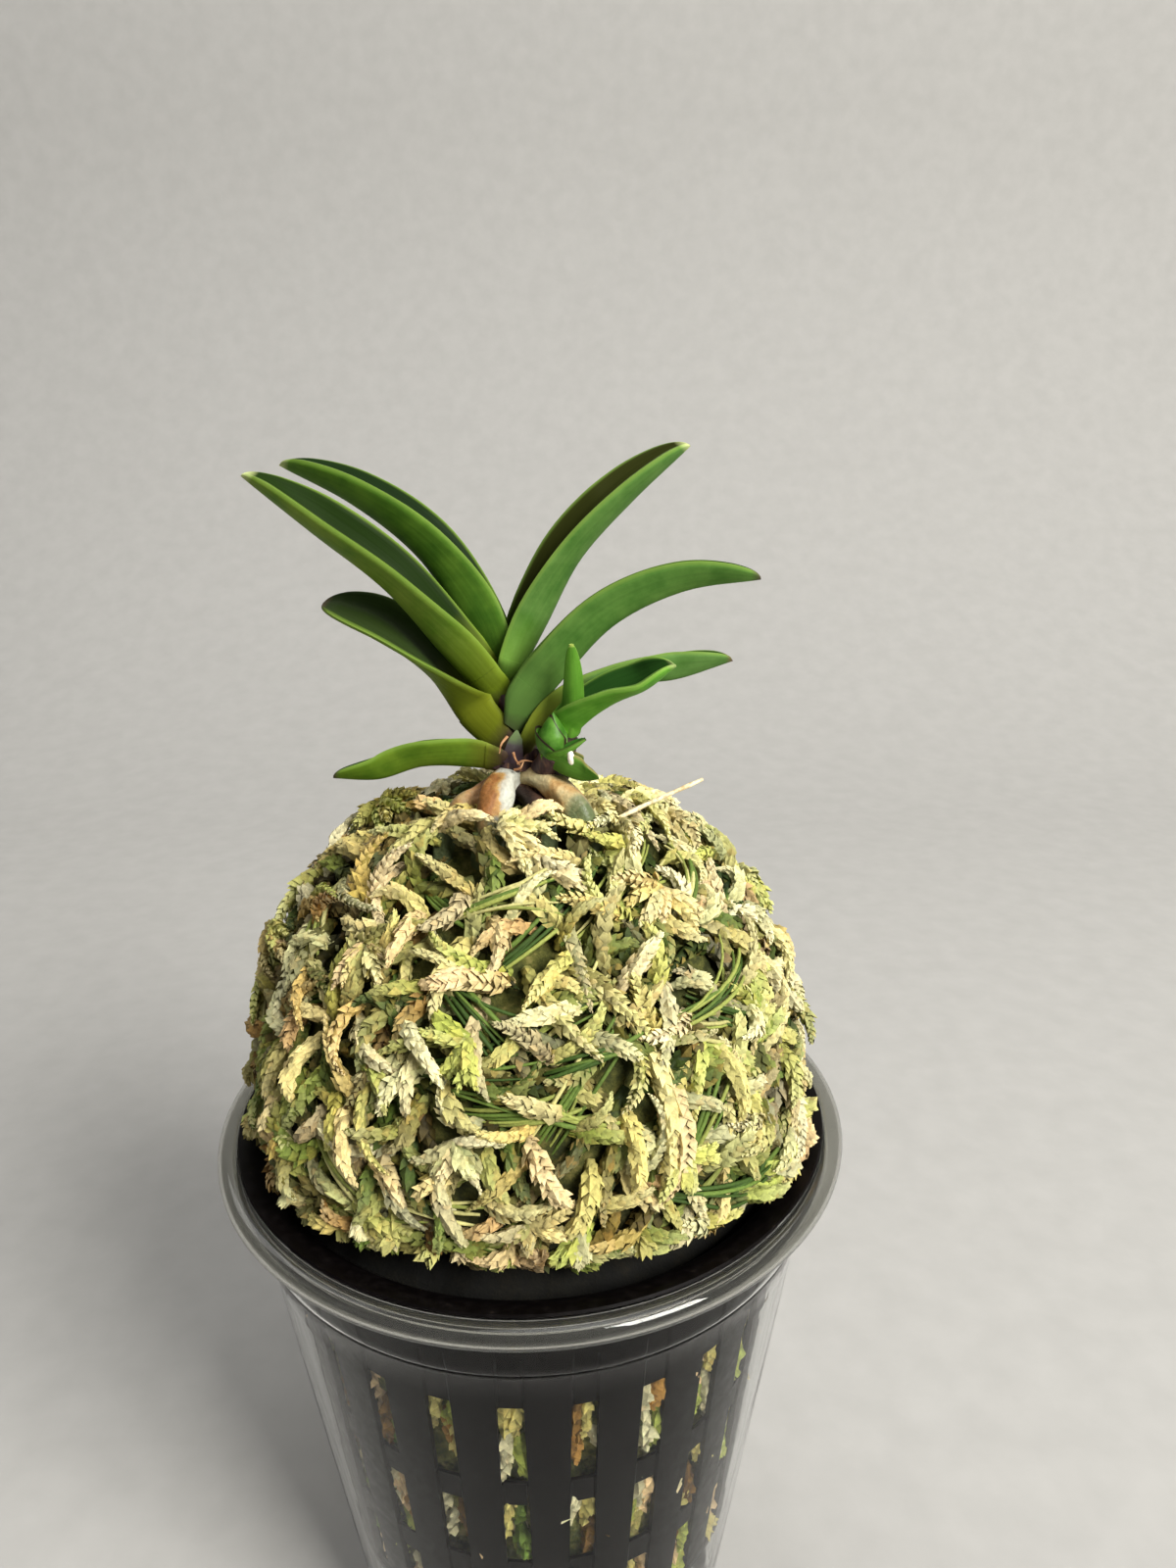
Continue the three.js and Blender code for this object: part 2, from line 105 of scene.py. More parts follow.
def about_z(radius, angle, height):
    """Points at these radii, angles and heights about Z, the three broadcast together."""
    places = np.broadcast_arrays(radius * np.cos(angle), radius * np.sin(angle), height)
    return np.stack(places, axis=-1)


def turned(profile, sides):
    """Points and faces of a profile of [radius, height] turned about Z, its ends closed."""
    profile = np.asarray(profile, float)
    points = about_z(profile[:, :1], circle(sides), profile[:, 1:])
    ends = np.stack([np.arange(sides)[::-1], (len(profile) - 1) * sides + np.arange(sides)])
    return points.reshape(-1, 3), [grid_faces(len(profile), sides), ends]


def colour(hex_text):
    """Linear RGBA of an sRGB hex colour."""
    values = [int(hex_text[i : i + 2], 16) / 255 for i in (1, 3, 5)]
    linear = [v / 12.92 if v <= 0.04045 else ((v + 0.055) / 1.055) ** 2.4 for v in values]
    return (*linear, 1.0)


def feed(node, inputs):
    """Gives a node its inputs: values, sockets, or nodes, which stand for their first output."""
    for name, given in inputs.items():
        if isinstance(given, bpy.types.Node):
            given = next(socket for socket in given.outputs if socket.enabled)
        if isinstance(given, bpy.types.NodeSocket):
            node.id_data.links.new(given, node.inputs[name])
        else:
            node.inputs[name].default_value = given


def add(tree, kind, inputs=None, stops=None, **settings):
    """A shader node of this kind, with its settings, its inputs and its ramp's stops."""
    made = tree.nodes.new("ShaderNode" + kind)
    for name, value in settings.items():
        setattr(made, name, value)
    feed(made, inputs or {})
    for number, (place, shade) in enumerate(stops or []):
        band = made.color_ramp.elements
        element = band[number] if number < len(band) else band.new(place)
        element.position, element.color = place, colour(shade)
    return made


def finish_of(name, made_of):
    """A new material with its node tree, its Principled shader and object coordinates. Nothing
    here is a metal."""
    material = bpy.data.materials.new(name)
    material.use_nodes = True
    tree = material.node_tree
    tree.nodes.clear()
    shader = add(tree, "BsdfPrincipled", {"Metallic": 0.0, **made_of})
    add(tree, "OutputMaterial", {"Surface": shader})
    return material, tree, shader, add(tree, "TexCoord").outputs["Object"]


def per_mm(size):
    """Texture scale at which one feature is size millimetres across."""
    return 1.0 / (size * MM)


cup_outer = lambda z: CUP_FOOT + CUP_SLOPE * z
bead_middle = RIM_RADIUS - BEAD_HALF_WIDTH
# The bead turns from under its outer side, over its top, to its inner side.
BEAD_START, BEAD_END, BEAD_STEP = -100, 191, 12
bead = [[bead_middle + BEAD_HALF_WIDTH * math.cos(turn), RIM_Z + BEAD_HALF_HEIGHT * math.sin(turn)]
        for turn in np.radians(np.arange(BEAD_START, BEAD_END, BEAD_STEP))]
wall_up = [[cup_outer(z), z] for z in np.linspace(1.0, CUP_WALL_TOP, CUP_WALL_ROWS)]
wall_down = [[cup_outer(z) - CUP_THICKNESS, z]
             for z in np.linspace(CUP_WALL_TOP, 3.0, CUP_WALL_ROWS)]
cup_profile = [
    [12, 1.35], [25.3, 1.5], [25.9, 1.1], [26.3, 0.2], [26.9, 0], [28.8, 0], [29.3, 0.25],
    *wall_up,
    [41.15, CUP_LEDGE_Z - 0.75], [41.5, CUP_LEDGE_Z - 0.35], [41.6, CUP_LEDGE_Z + 0.1],
    [41.75, CUP_LEDGE_Z + 1.2], [42.55, RIM_Z - 2.1],
    *bead,
    [42.15, RIM_Z - 0.6], [42.0, RIM_Z - 2], [41.1, CUP_LEDGE_Z + 1],
    [41.0, CUP_LEDGE_Z], [40.75, CUP_LEDGE_Z - 0.45],
    *wall_down,
    [28.9, 2.35], [27.6, 2.15], [12, 2.0],
]
cup_points, (cup_quads, cup_ends) = turned(cup_profile, CUP_SIDES)
# The rolled rim is hollow: a ring-shaped room runs round inside it.
ROLL_SIDES, ROLL_WALL = 16, 0.5
room_radius = bead_middle + (BEAD_HALF_WIDTH - ROLL_WALL) * np.cos(circle(ROLL_SIDES))
room_height = RIM_Z + (BEAD_HALF_HEIGHT - ROLL_WALL) * np.sin(circle(ROLL_SIDES))
room_points = about_z(room_radius, circle(CUP_SIDES)[:, None], room_height).reshape(-1, 3)
room_faces = grid_faces(CUP_SIDES, ROLL_SIDES, start=len(cup_points))
first = len(cup_points) + np.arange(ROLL_SIDES)
last = first + (CUP_SIDES - 1) * ROLL_SIDES
room_close = np.stack([last, np.roll(last, -1), np.roll(first, -1), first], axis=1)
cup = piece("cup", np.concatenate([cup_points, room_points]),
            [np.concatenate([cup_quads, room_faces, room_close]), cup_ends], sharp=50)

# Clear PET, thermoformed: smooth and glossy with the faintest haze and drawn streaks.
clear_pet, tree, shader, place = finish_of(
    "clear_thermoformed_pet",
    {"Base Color": colour("#f4f5f4"), "IOR": 1.13, "Transmission Weight": 1.0})
drawn = add(tree, "Mapping", {"Vector": place, "Scale": (1.0, 1.0, 0.12)})
streaks = add(tree, "TexNoise", {"Vector": drawn, "Scale": per_mm(6), "Detail": 3.0})
haze = add(tree, "MapRange",
           {"Value": streaks, "From Min": 0.35, "From Max": 0.7, "To Min": 0.0, "To Max": 0.02})
ripple = add(tree, "Bump", {"Height": streaks, "Strength": 0.18, "Distance": 0.3 * MM})
feed(shader, {"Roughness": haze, "Normal": ripple})
cup.data.materials.append(clear_pet)

# Rolled rim of the same PET: drawn thick and hazy, so it shows grey with bright gloss lines.
hazy_pet, tree, shader, place = finish_of(
    "hazy_rolled_pet",
    {"Base Color": colour("#c6c6c0"), "Roughness": 0.04, "IOR": 1.38, "Transmission Weight": 0.97})
rolled = add(tree, "Mapping", {"Vector": place, "Scale": (0.25, 0.25, 1.6)})
roll_lines = add(tree, "TexNoise", {"Vector": rolled, "Scale": per_mm(2.2), "Detail": 2.0})
roll_bump = add(tree, "Bump", {"Height": roll_lines, "Strength": 0.06, "Distance": 0.1 * MM})
feed(shader, {"Normal": roll_bump})
cup.data.materials.append(hazy_pet)
heights = np.array([face.center.z for face in cup.data.polygons]) / MM
in_rim = (heights > RIM_Z - BEAD_HALF_HEIGHT).astype(np.int32)
cup.data.polygons.foreach_set("material_index", in_rim)
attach(cup, "root")
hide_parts("clear_cup")

# ---------------------------------------------------------------------------------------------
# Net pot: a black basket of injection-moulded polypropylene. Its funnel lip rests on the cup's
# rim, and its wall has rows of upright slots that lie in shallow grooves between flat ribs.
SLOTS_AROUND = 24
SLOT_PHASE = math.radians(-92.9)
SLOT_ROWS = [(27.0, 37.8), (42.2, 55.0), (59.5, 74.6)]
GROOVE_FOOT, GROOVE_TOP, GROOVE_DEPTH = 26.5, 84.0, 0.4
POT_RADIUS, POT_RADIUS_Z, POT_SLOPE, POT_THICKNESS = 37.0, 74.6, 0.11, 0.9
LIP_RADIUS, LIP_Z = 43.1, 95.6

pot_outer = lambda z: POT_RADIUS + POT_SLOPE * (z - POT_RADIUS_Z)
wall_heights = np.array([
    26.2, 26.6, 27.0, 27.3, 32.0, 37.5, 37.8, 38.2, 40.0, 41.8, 42.2, 42.5, 48.6, 54.7, 55.0,
    55.4, 57.2, 59.1, 59.5, 59.8, 67.0, 74.3, 74.6, 75.0, 79.0, 83.6, 84.0, 87.0, 90.0, 91.4,
])
outside = np.array([
    (28.5, 24.0), (30.7, 24.0), (31.25, 24.2), (31.5, 24.7),
    *[(pot_outer(z), z) for z in wall_heights],
    (38.9, 92.4), (39.3, 93.3), (40.0, 94.1), (41.0, 94.7), (42.1, 95.1), (42.9, 95.3),
])
inside = np.array([
    (28.5, 25.0), (30.2, 25.0), (30.5, 25.15), (30.65, 25.5),
    *[(pot_outer(z) - POT_THICKNESS, z) for z in wall_heights],
    (38.1, 92.7), (38.5, 93.8), (39.4, 94.7), (40.6, 95.3), (41.8, 95.7), (42.9, 95.9),
])
# Across one slot and the rib beside it: places in millimetres from the slot's middle, then
# shares of the way over the rib to the next slot.
slot_places = np.array([-1.8, -1.5, 0.0, 1.5, 1.8])
rib_shares = np.array([0.06, 0.35, 0.65, 0.94])
period = 2 * math.pi / SLOTS_AROUND
rows, columns = len(outside), SLOTS_AROUND * (len(slot_places) + len(rib_shares))


def pot_skin(profile, groove):
    """Grid of points of one skin of the pot: rows go up the profile, columns go round."""
    radius, height = profile[:, 0][:, None], profile[:, 1][:, None]
    slot_angle = slot_places / radius
    rib_start, rib_end = slot_angle[:, -1:], period + slot_angle[:, :1]
    one = np.concatenate([slot_angle, rib_start + (rib_end - rib_start) * rib_shares], axis=1)
    turn = np.arange(SLOTS_AROUND)[:, None] * period + SLOT_PHASE
    angle = (one[:, None, :] + turn[None, :, :]).reshape(len(profile), -1)
    sunk = np.zeros_like(angle)
    deep_rows = (height[:, 0] >= GROOVE_FOOT) & (height[:, 0] < GROOVE_TOP - 0.1)
    deep_columns = np.tile([False, True, True, True, False] + [False] * 4, SLOTS_AROUND)
    sunk[np.ix_(deep_rows, deep_columns)] = groove
    return about_z(radius - sunk, angle, height)


pot_out, pot_in = pot_skin(outside, GROOVE_DEPTH), pot_skin(inside, 0.0)
# A cell is open where it lies in a slot.
middle = (outside[:-1, 1] + outside[1:, 1]) / 2
row_open = np.any([(middle > low) & (middle < high) for low, high in SLOT_ROWS], axis=0)
is_open = row_open[:, None] & np.tile([True] * 4 + [False] * 5, SLOTS_AROUND)[None, :]
near = np.arange(rows * columns).reshape(rows, columns)
far = np.roll(near, -1, axis=1)
inner = rows * columns
quad = np.stack([near[:-1], far[:-1], far[1:], near[1:]], axis=-1)[~is_open]
pot_faces = [quad, quad[:, ::-1] + inner]
# Slot walls join the two skins where an open cell meets a solid one: left, right, below, above.
shut = np.zeros((1, columns), bool)
for starts, ends, beside in (
    (near[:-1], near[1:], np.roll(is_open, 1, axis=1)),
    (far[1:], far[:-1], np.roll(is_open, -1, axis=1)),
    (far[:-1], near[:-1], np.concatenate([shut, is_open[:-1]])),
    (near[1:], far[1:], np.concatenate([is_open[1:], shut])),
):
    a, b = starts[is_open & ~beside], ends[is_open & ~beside]
    pot_faces.append(np.stack([a, b, b + inner, a + inner], axis=1))
# The lip's edge, and the floor
lip_share = LIP_RADIUS / outside[-1, 0]
lip_ring = pot_out[-1] * [lip_share, lip_share, 0] + [0, 0, LIP_Z]
edge = 2 * rows * columns + np.arange(columns)
next_edge = np.roll(edge, -1)
pot_faces.append(np.stack([near[-1], far[-1], next_edge, edge], axis=1))
pot_faces.append(np.stack([edge, next_edge, far[-1] + inner, near[-1] + inner], axis=1))
floor_faces = np.stack([near[0][::-1], near[0] + inner])
pot_points = np.concatenate([pot_out.reshape(-1, 3), pot_in.reshape(-1, 3), lip_ring])
pot = piece("slotted_pot", pot_points, [np.concatenate(pot_faces), floor_faces], sharp=35)

# Black polypropylene, injection moulded: an even satin black with a fine tool texture, dusty
# where moss has rubbed on it.
black_pp, tree, shader, place = finish_of(
    "black_moulded_polypropylene", {"IOR": 1.49, "Specular IOR Level": 0.08})
dust = add(tree, "TexNoise", {"Vector": place, "Scale": per_mm(1.4), "Detail": 6.0})
dusty = add(tree, "ValToRGB", {"Fac": dust},
            stops=[(0.45, "#070505"), (0.68, "#0e0b0b"), (0.8, "#2b241e")])
grain = add(tree, "TexNoise", {"Vector": place, "Scale": per_mm(0.35), "Detail": 3.0})
satin = add(tree, "MapRange",
            {"Value": dust, "From Min": 0.3, "From Max": 0.8, "To Min": 0.34, "To Max": 0.62})
tool_marks = add(tree, "Bump", {"Height": grain, "Strength": 0.25, "Distance": 0.05 * MM})
feed(shader, {"Base Color": dusty, "Roughness": satin, "Normal": tool_marks})
pot.data.materials.append(black_pp)
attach(pot, "root")
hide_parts("net_pot")

# ---------------------------------------------------------------------------------------------
# Moss body: damp sphagnum packed by hand round the roots. It fills the pot and stands over it
# as a dome, matted, and painted dark where the leafy branches let the eye in: partly its own
# colour and partly painted shade in the gaps.
DOME_RADIUS, DOME_RISE, DOME_UNDERSIDE, DOME_Z = 42.5, 46.5, 13.0, 101.0
BRANCH_DEPTH = 4.2
THROAT_POLAR = 2.05
BODY_SIDES, BODY_RINGS = 144, 44
# The mat's lumps are 4 to 11 mm across.
LUMP_WAVES, LUMP_SIZES, LUMP_HEIGHT, LUMP_SINK = 14, (4, 11), 0.16, 0.35


def dome_point(polar, turn, lift):
    """Point on the moss: polar is 0 at the top, lift is the height over the matted body."""
    flat = DOME_RADIUS - BRANCH_DEPTH + lift
    rise = np.where(polar < math.pi / 2, DOME_RISE - BRANCH_DEPTH + lift, DOME_UNDERSIDE)
    return about_z(flat * np.sin(polar), turn, DOME_Z + rise * np.cos(polar))


chance = np.random.default_rng(11)
body_profile = [
    [29.6, 25.6], [pot_outer(30) - 1.6, 30.0],
    *[[pot_outer(z) - 1.7, z] for z in np.linspace(34, 90, 29)],
    *dome_point(np.linspace(THROAT_POLAR, 0.08, BODY_RINGS), 0.0, -0.9)[:, [0, 2]],
]
body_points, body_faces = turned(body_profile, BODY_SIDES)
lumps = np.zeros(len(body_points))
for wave in range(LUMP_WAVES):
    direction = chance.normal(size=3)
    direction *= 2 * math.pi / (chance.uniform(*LUMP_SIZES) * np.linalg.norm(direction))
    lumps += np.sin(body_points @ direction + chance.uniform(0, 6.3))
outward = body_points - [0, 0, DOME_Z]
outward[:, 2] = np.clip(outward[:, 2], 0, None)
outward /= np.linalg.norm(outward, axis=1)[:, None]
body_points += outward * (LUMP_HEIGHT * lumps - LUMP_SINK)[:, None]
moss_body = piece("matted_moss_body", body_points, body_faces, sharp=180)

# Old sphagnum, hand packed: damp and fibrous, brown with green showing through. Its dark tones
# are partly its own colour and partly painted shade of the gaps between branches.
matted_moss, tree, shader, place = finish_of("matted_sphagnum", {"Roughness": 0.9, "IOR": 1.4})
mat = add(tree, "TexNoise",
          {"Vector": place, "Scale": per_mm(3.0), "Detail": 8.0, "Roughness": 0.7})
mat_colour = add(tree, "ValToRGB", {"Fac": mat},
                 stops=[(0.3, "#23250f"), (0.46, "#454a1d"), (0.56, "#6c6c32"), (0.68, "#9a8e56")])
mat_bump = add(tree, "Bump", {"Height": mat, "Strength": 0.9, "Distance": 0.8 * MM})
height = add(tree, "SeparateXYZ", {"Vector": place}).outputs["Z"]
up_share = add(tree, "MapRange", {"Value": height, "From Max": 150 * MM})
# Painted shade by height: none where the slots show it, near black in the gap under the dome,
# grey over the dome's lower part, and fading to none at its top.
painted_height_shade = add(tree, "ValToRGB", {"Fac": up_share},
             stops=[(0.48, "#ffffff"), (0.53, "#2a2622"), (0.64, "#2a2622"), (0.74, "#a8aa98"),
                    (1.0, "#ffffff")])
# A Mix node's sockets are told apart by number: its factor and its two colours.
MIX_FACTOR, MIX_A, MIX_B = 0, 6, 7
# The mat's colour times the painted shade.
mat_with_painted_shade = add(tree, "Mix", {MIX_FACTOR: 1.0, MIX_A: mat_colour, MIX_B: painted_height_shade},
                data_type="RGBA", blend_type="MULTIPLY")
feed(shader, {"Base Color": mat_with_painted_shade, "Normal": mat_bump})
moss_body.data.materials.append(matted_moss)
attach(moss_body, "root")
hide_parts("moss")

# ---------------------------------------------------------------------------------------------
# Leafy moss branches: each sphagnum branch is a thin stem with five ranks of overlapping,
# pointed, cupped scales. They lie over the dome, hang at its sides and press on the slots.
SCALE_LENGTH, SCALE_WIDTH = 2.0, 1.7
RANK_TURN = 2 * math.pi * 2 / 5
CORE_RINGS, CORE_SIDES = 6, 5
# The last colour, a dark green, stands mostly for painted shade on the deeper branches.
palette = np.array([colour(shade)[:3] for shade in (
    "#f6eebe", "#e4d680", "#bcc95c", "#c9974a", "#f0d09c", "#728d32", "#7e5c24", "#3e5a1a")])
CREAM, STRAW, LIME, TAN, BLUSH, GREEN, BROWN, DEEP_SHADE_GREEN = range(len(palette))


def unit(vectors):
    """Vectors made one long."""
    return vectors / (np.linalg.norm(vectors, axis=-1, keepdims=True) + 1e-12)


def rings_along(paths):
    """Two crosswise directions at each point of each path, carried along without twist."""
    ahead = unit(np.gradient(paths, axis=-2))
    side = np.empty_like(paths)
    first = ahead[..., 0, :]
    helper = np.where(np.abs(first[..., 2:]) < 0.8, [0.0, 0.0, 1.0], [1.0, 0.0, 0.0])
    side[..., 0, :] = unit(np.cross(first, helper))
    for i in range(1, paths.shape[-2]):
        carried, here = side[..., i - 1, :], ahead[..., i, :]
        side[..., i, :] = unit(carried - here * np.sum(carried * here, axis=-1, keepdims=True))
    return ahead, side, np.cross(ahead, side)


def tubes(paths, radii, sides):
    """Points and faces of round tubes along the paths, their ends closed."""
    count, steps = paths.shape[:2]
    _, side, up = rings_along(paths)
    angle = circle(sides)[:, None]
    around = side[:, :, None] * np.cos(angle) + up[:, :, None] * np.sin(angle)
    points = paths[:, :, None] + around * radii[:, :, None, None]
    ends = np.stack([np.arange(sides)[::-1], (steps - 1) * sides + np.arange(sides)])
    shift = (np.arange(count) * steps * sides)[:, None, None]
    return points.reshape(-1, 3), [(grid_faces(steps, sides)[None] + shift).reshape(-1, 4),
                                   (ends[None] + shift).reshape(-1, sides)]


def sample_paths(paths, share):
    """Points at these shares of the way along each path."""
    steps = paths.shape[1] - 1
    place = np.clip(share, 0, 1) * steps
    low = np.minimum(place.astype(int), steps - 1)
    part = (place - low)[..., None]
    rows = np.arange(len(paths))[:, None]
    return paths[rows, low] * (1 - part) + paths[rows, low + 1] * part


def mark(made, name, values, kind="FLOAT", field="value"):
    """Stores a value for each point of a piece, for its material to read."""
    layer = made.data.attributes.new(name, kind, "POINT")
    layer.data.foreach_set(field, np.ascontiguousarray(values, np.float32).ravel())


def paint(made, tints):
    """Stores one linear colour for each point of a piece as its tint."""
    tints = np.concatenate([np.clip(tints, 0, 1), np.ones((len(tints), 1))], axis=1)
    mark(made, "tint", tints, "FLOAT_COLOR", "color")


def leafy_branches(name, paths, width, tint, tip_tint, scales):
    """One piece of moss branches: a core tube and its overlapping scales for each path."""
    count = len(paths)
    each, one_each = (count, scales), (count, 1)
    share = (np.arange(scales) + 0.5) / scales
    share = np.clip(share[None] * 0.98 + chance.normal(0, 0.008, each), 0, 0.985)
    centre = sample_paths(paths, share)
    ahead, side, up = [unit(sample_paths(way, share)) for way in rings_along(paths)]
    turn = np.arange(scales) * RANK_TURN + chance.uniform(0, 6.3, one_each)
    turn = (turn + chance.normal(0, 0.3, each))[..., None]
    outward = side * np.cos(turn) + up * np.sin(turn)
    beside = np.cross(ahead, outward)
    # A branch is fullest a third of the way along, in small lumps, and tapers to its tip.
    fullness = np.interp(share, [0, 0.1, 0.38, 0.7, 1], [0.7, 0.98, 1, 0.66, 0.16])
    wave = share * chance.uniform(9, 22, one_each)
    fullness = fullness * (1 + 0.12 * np.sin(wave + chance.uniform(0, 6.3, one_each)))
    size = fullness**0.8 * (width[:, None] / 3.0) * chance.uniform(0.85, 1.15, each)
    splay = 0.04 + chance.uniform(0, 1, one_each) ** 3 * 0.36
    lean = splay * np.interp(share, [0, 0.8, 1], [1.1, 1, 0.3])
    lean = (lean + np.abs(chance.normal(0, 0.08, each)))[..., None]
    forward = ahead * np.cos(lean) + outward * np.sin(lean)
    over = outward * np.cos(lean) - ahead * np.sin(lean)
    base = centre + outward * (0.3 * width[:, None] * fullness)[..., None]
    size = size[..., None]
    length, half = SCALE_LENGTH * size, 0.5 * SCALE_WIDTH * size
    widest = base + forward * 0.45 * length
    ridge = widest + over * 0.17 * length
    left = widest + beside * half - over * 0.5 * half
    right = widest - beside * half - over * 0.5 * half
    tip = base + forward * length + over * chance.uniform(-0.16, 0.08, (*each, 1)) * length
    tip = tip + chance.normal(0, 0.07, tip.shape) * size
    under = ridge - over * 0.2 * size
    scale_points = np.stack([base, left, right, ridge, under, tip], axis=2).reshape(-1, 3)
    one = np.array([[0, 3, 1], [0, 2, 3], [1, 3, 5], [3, 2, 5],
                    [0, 1, 4], [0, 4, 2], [1, 5, 4], [4, 5, 2]])
    scale_faces = (one[None] + 6 * np.arange(count * scales)[:, None, None]).reshape(-1, 3)
    core_share = np.linspace(0, 0.97, CORE_RINGS)[None].repeat(count, 0)
    core_width = np.interp(core_share, [0, 0.1, 0.4, 0.7, 1], [0.7, 1, 1, 0.7, 0.2])
    core_points, core_faces = tubes(
        sample_paths(paths, core_share), 0.34 * width[:, None] * core_width, CORE_SIDES)
    made = piece(name, np.concatenate([scale_points, core_points]),
                 [scale_faces, *[rows + len(scale_points) for rows in core_faces]], sharp=75)
    # A branch pales to its tip and no two scales match. Each scale is painted with shade at its
    # base and underside, where it lies under its neighbours, and painted lighter at its point.
    painted_scale_shade = np.array([0.52, 0.84, 0.84, 0.97, 0.52, 1.14])[:, None]
    shade = chance.uniform(0.93, 1.07, (*each, 1, 1))
    toward_tip = (share**1.3)[..., None, None]
    along = tint[:, None, None, :] * (1 - toward_tip) + tip_tint[:, None, None, :] * toward_tip
    rust = chance.uniform(0, 1, (*each, 1, 1)) ** 5 * 0.25
    scale_tint = (along * shade * (1 - rust) + palette[TAN] * rust) * painted_scale_shade
    core_tint = np.repeat(tint * 0.6, CORE_RINGS * CORE_SIDES, axis=0)
    paint(made, np.concatenate([scale_tint.reshape(-1, 3), core_tint]))
    return made


# Where roots and stem stand in the moss, branches keep clear of them: [x, y, z, radius].
PLANT_SPOTS = np.array([
    [-0.8, 0.5, 149.5, 4.6], [-0.8, 0.5, 154.0, 4.4], [-2.3, -5.6, 149.6, 2.9],
    [-3.2, -8.2, 148.5, 2.9], [-4.0, -9.8, 147.4, 2.6], [3.3, -6.0, 149.3, 2.5],
    [5.9, -7.5, 147.9, 2.5], [7.6, -9.2, 146.9, 2.2], [0.3, -6.6, 147.6, 1.9],
    [1.6, -8.8, 146.9, 1.8], [-5.2, -5.4, 147.6, 2.0], [-7.4, -7.0, 147.2, 1.8],
    [4.5, -8.0, 152.0, 3.2], [8.0, -8.0, 151.2, 2.6], [-12.0, -4.0, 150.0, 2.4],
])


def clear_of_plant(paths):
    """True for each path that stays outside the roots' and stem's room."""
    room = np.linalg.norm(paths[:, :, None] - PLANT_SPOTS[:, :3], axis=-1) - PLANT_SPOTS[:, 3]
    return room.min(axis=(1, 2)) > 0


# The dome swells and sinks by a few millimetres: [polar, turn in degrees, lift, spread].
SWELLS = [
    [0.37, -92, 3.4, 0.13], [0.36, -48, 2.2, 0.14], [0.38, -138, 2.0, 0.14],
    [0.32, 8, 1.4, 0.14], [0.30, 165, 1.4, 0.14], [0.62, 22, 2.0, 0.16], [0.50, 152, 1.2, 0.16],
    [1.10, 2, 0.9, 0.14], [1.90, -95, -2.2, 0.45], [1.70, -36, 1.6, 0.16],
    [1.66, -140, 0.6, 0.2], [0.72, 176, 2.0, 0.2], [1.12, 174, 1.2, 0.2], [0.80, 4, 1.0, 0.18],
]


def swell(polar, turn):
    """How far the dome stands out or in here, in millimetres."""
    total = np.zeros(np.broadcast(polar, turn).shape)
    for at_polar, at_turn, lift, spread in SWELLS:
        across = np.sin(polar) * math.sin(at_polar) * np.cos(turn - math.radians(at_turn))
        away = np.arccos(np.clip(np.cos(polar) * math.cos(at_polar) + across, -1, 1))
        total += lift * np.exp(-((away / spread) ** 2) / 2)
    return total


PATH_STEPS = 11


def dome_paths(polar, turn, heading, length, curl, rise, flick, root=-0.8, steps=PATH_STEPS):
    """Branch paths that start in the mat, arch over it and end with a flick out or in."""
    points, step = [], length / (steps - 1)
    for i in range(steps):
        share = i / (steps - 1)
        lift = root * (1 - share) ** 2 + 2 * rise * share * (1 - share) + flick * share**2
        points.append(dome_point(polar, turn, lift + swell(polar, turn)))
        polar = np.clip(polar + step * np.cos(heading) / DOME_RADIUS, 0.03, THROAT_POLAR)
        turn = turn + step * np.sin(heading) / np.maximum(DOME_RADIUS * np.sin(polar), 5)
        heading = heading + curl / (steps - 1)
    return np.stack(points, axis=1)


def moss_tints(polar, turn, depth=0.0):
    """Base and tip colour of each branch by its place: creamier to the right and browner to the
    left, partly the moss's own colours and partly painted light from the key at the right;
    greener to the foot. Painted shade makes the deeper layers greener and darker and darkens
    the left and the foot, and painted light brightens the top."""
    right = np.clip(np.sin(polar) * np.cos(turn), 0, 1)
    left = np.clip(-np.sin(polar) * np.cos(turn), 0, 1)
    foot = np.clip(polar - 0.9, 0, 1)
    weight = np.empty((len(polar), len(palette)))
    weight[:, CREAM] = (1.5 + 1.6 * right) * (1 - 0.85 * depth)
    weight[:, STRAW] = 1.9
    weight[:, LIME] = 1.3 + 0.8 * foot
    weight[:, TAN] = 0.25 + 1.6 * left + 0.3 * np.clip(0.6 - polar, 0, 1)
    weight[:, BLUSH] = 0.6
    weight[:, GREEN] = 0.5 + 1.2 * foot + 3.0 * depth
    weight[:, BROWN] = 0.1 + 0.6 * left + 0.9 * depth
    weight[:, DEEP_SHADE_GREEN] = 0.1 + 0.4 * foot + 3.6 * depth
    weight = np.cumsum(weight / weight.sum(axis=1, keepdims=True), axis=1)
    one_each = (len(polar), 1)
    main, second, third = [
        palette[(chance.uniform(0, 1, one_each) > weight).sum(axis=1).clip(0, len(palette) - 1)]
        for _ in range(3)
    ]
    pale = chance.uniform(0.1, 0.65, one_each) * (1 - depth)
    tips = (0.55 * main + 0.45 * third) * (1 - pale) + palette[CREAM] * pale
    # Painted light and shade: darker with depth, to the left and at the foot, lighter on top.
    bright = chance.uniform(0.76, 1.0, one_each) * (1 - 0.7 * depth)
    bright = bright * (1 - 0.04 * left - 0.12 * foot + 0.5 * np.clip(0.8 - polar, 0, 0.5))[:, None]
    return (0.6 * main + 0.4 * second) * bright * 0.88, tips * bright


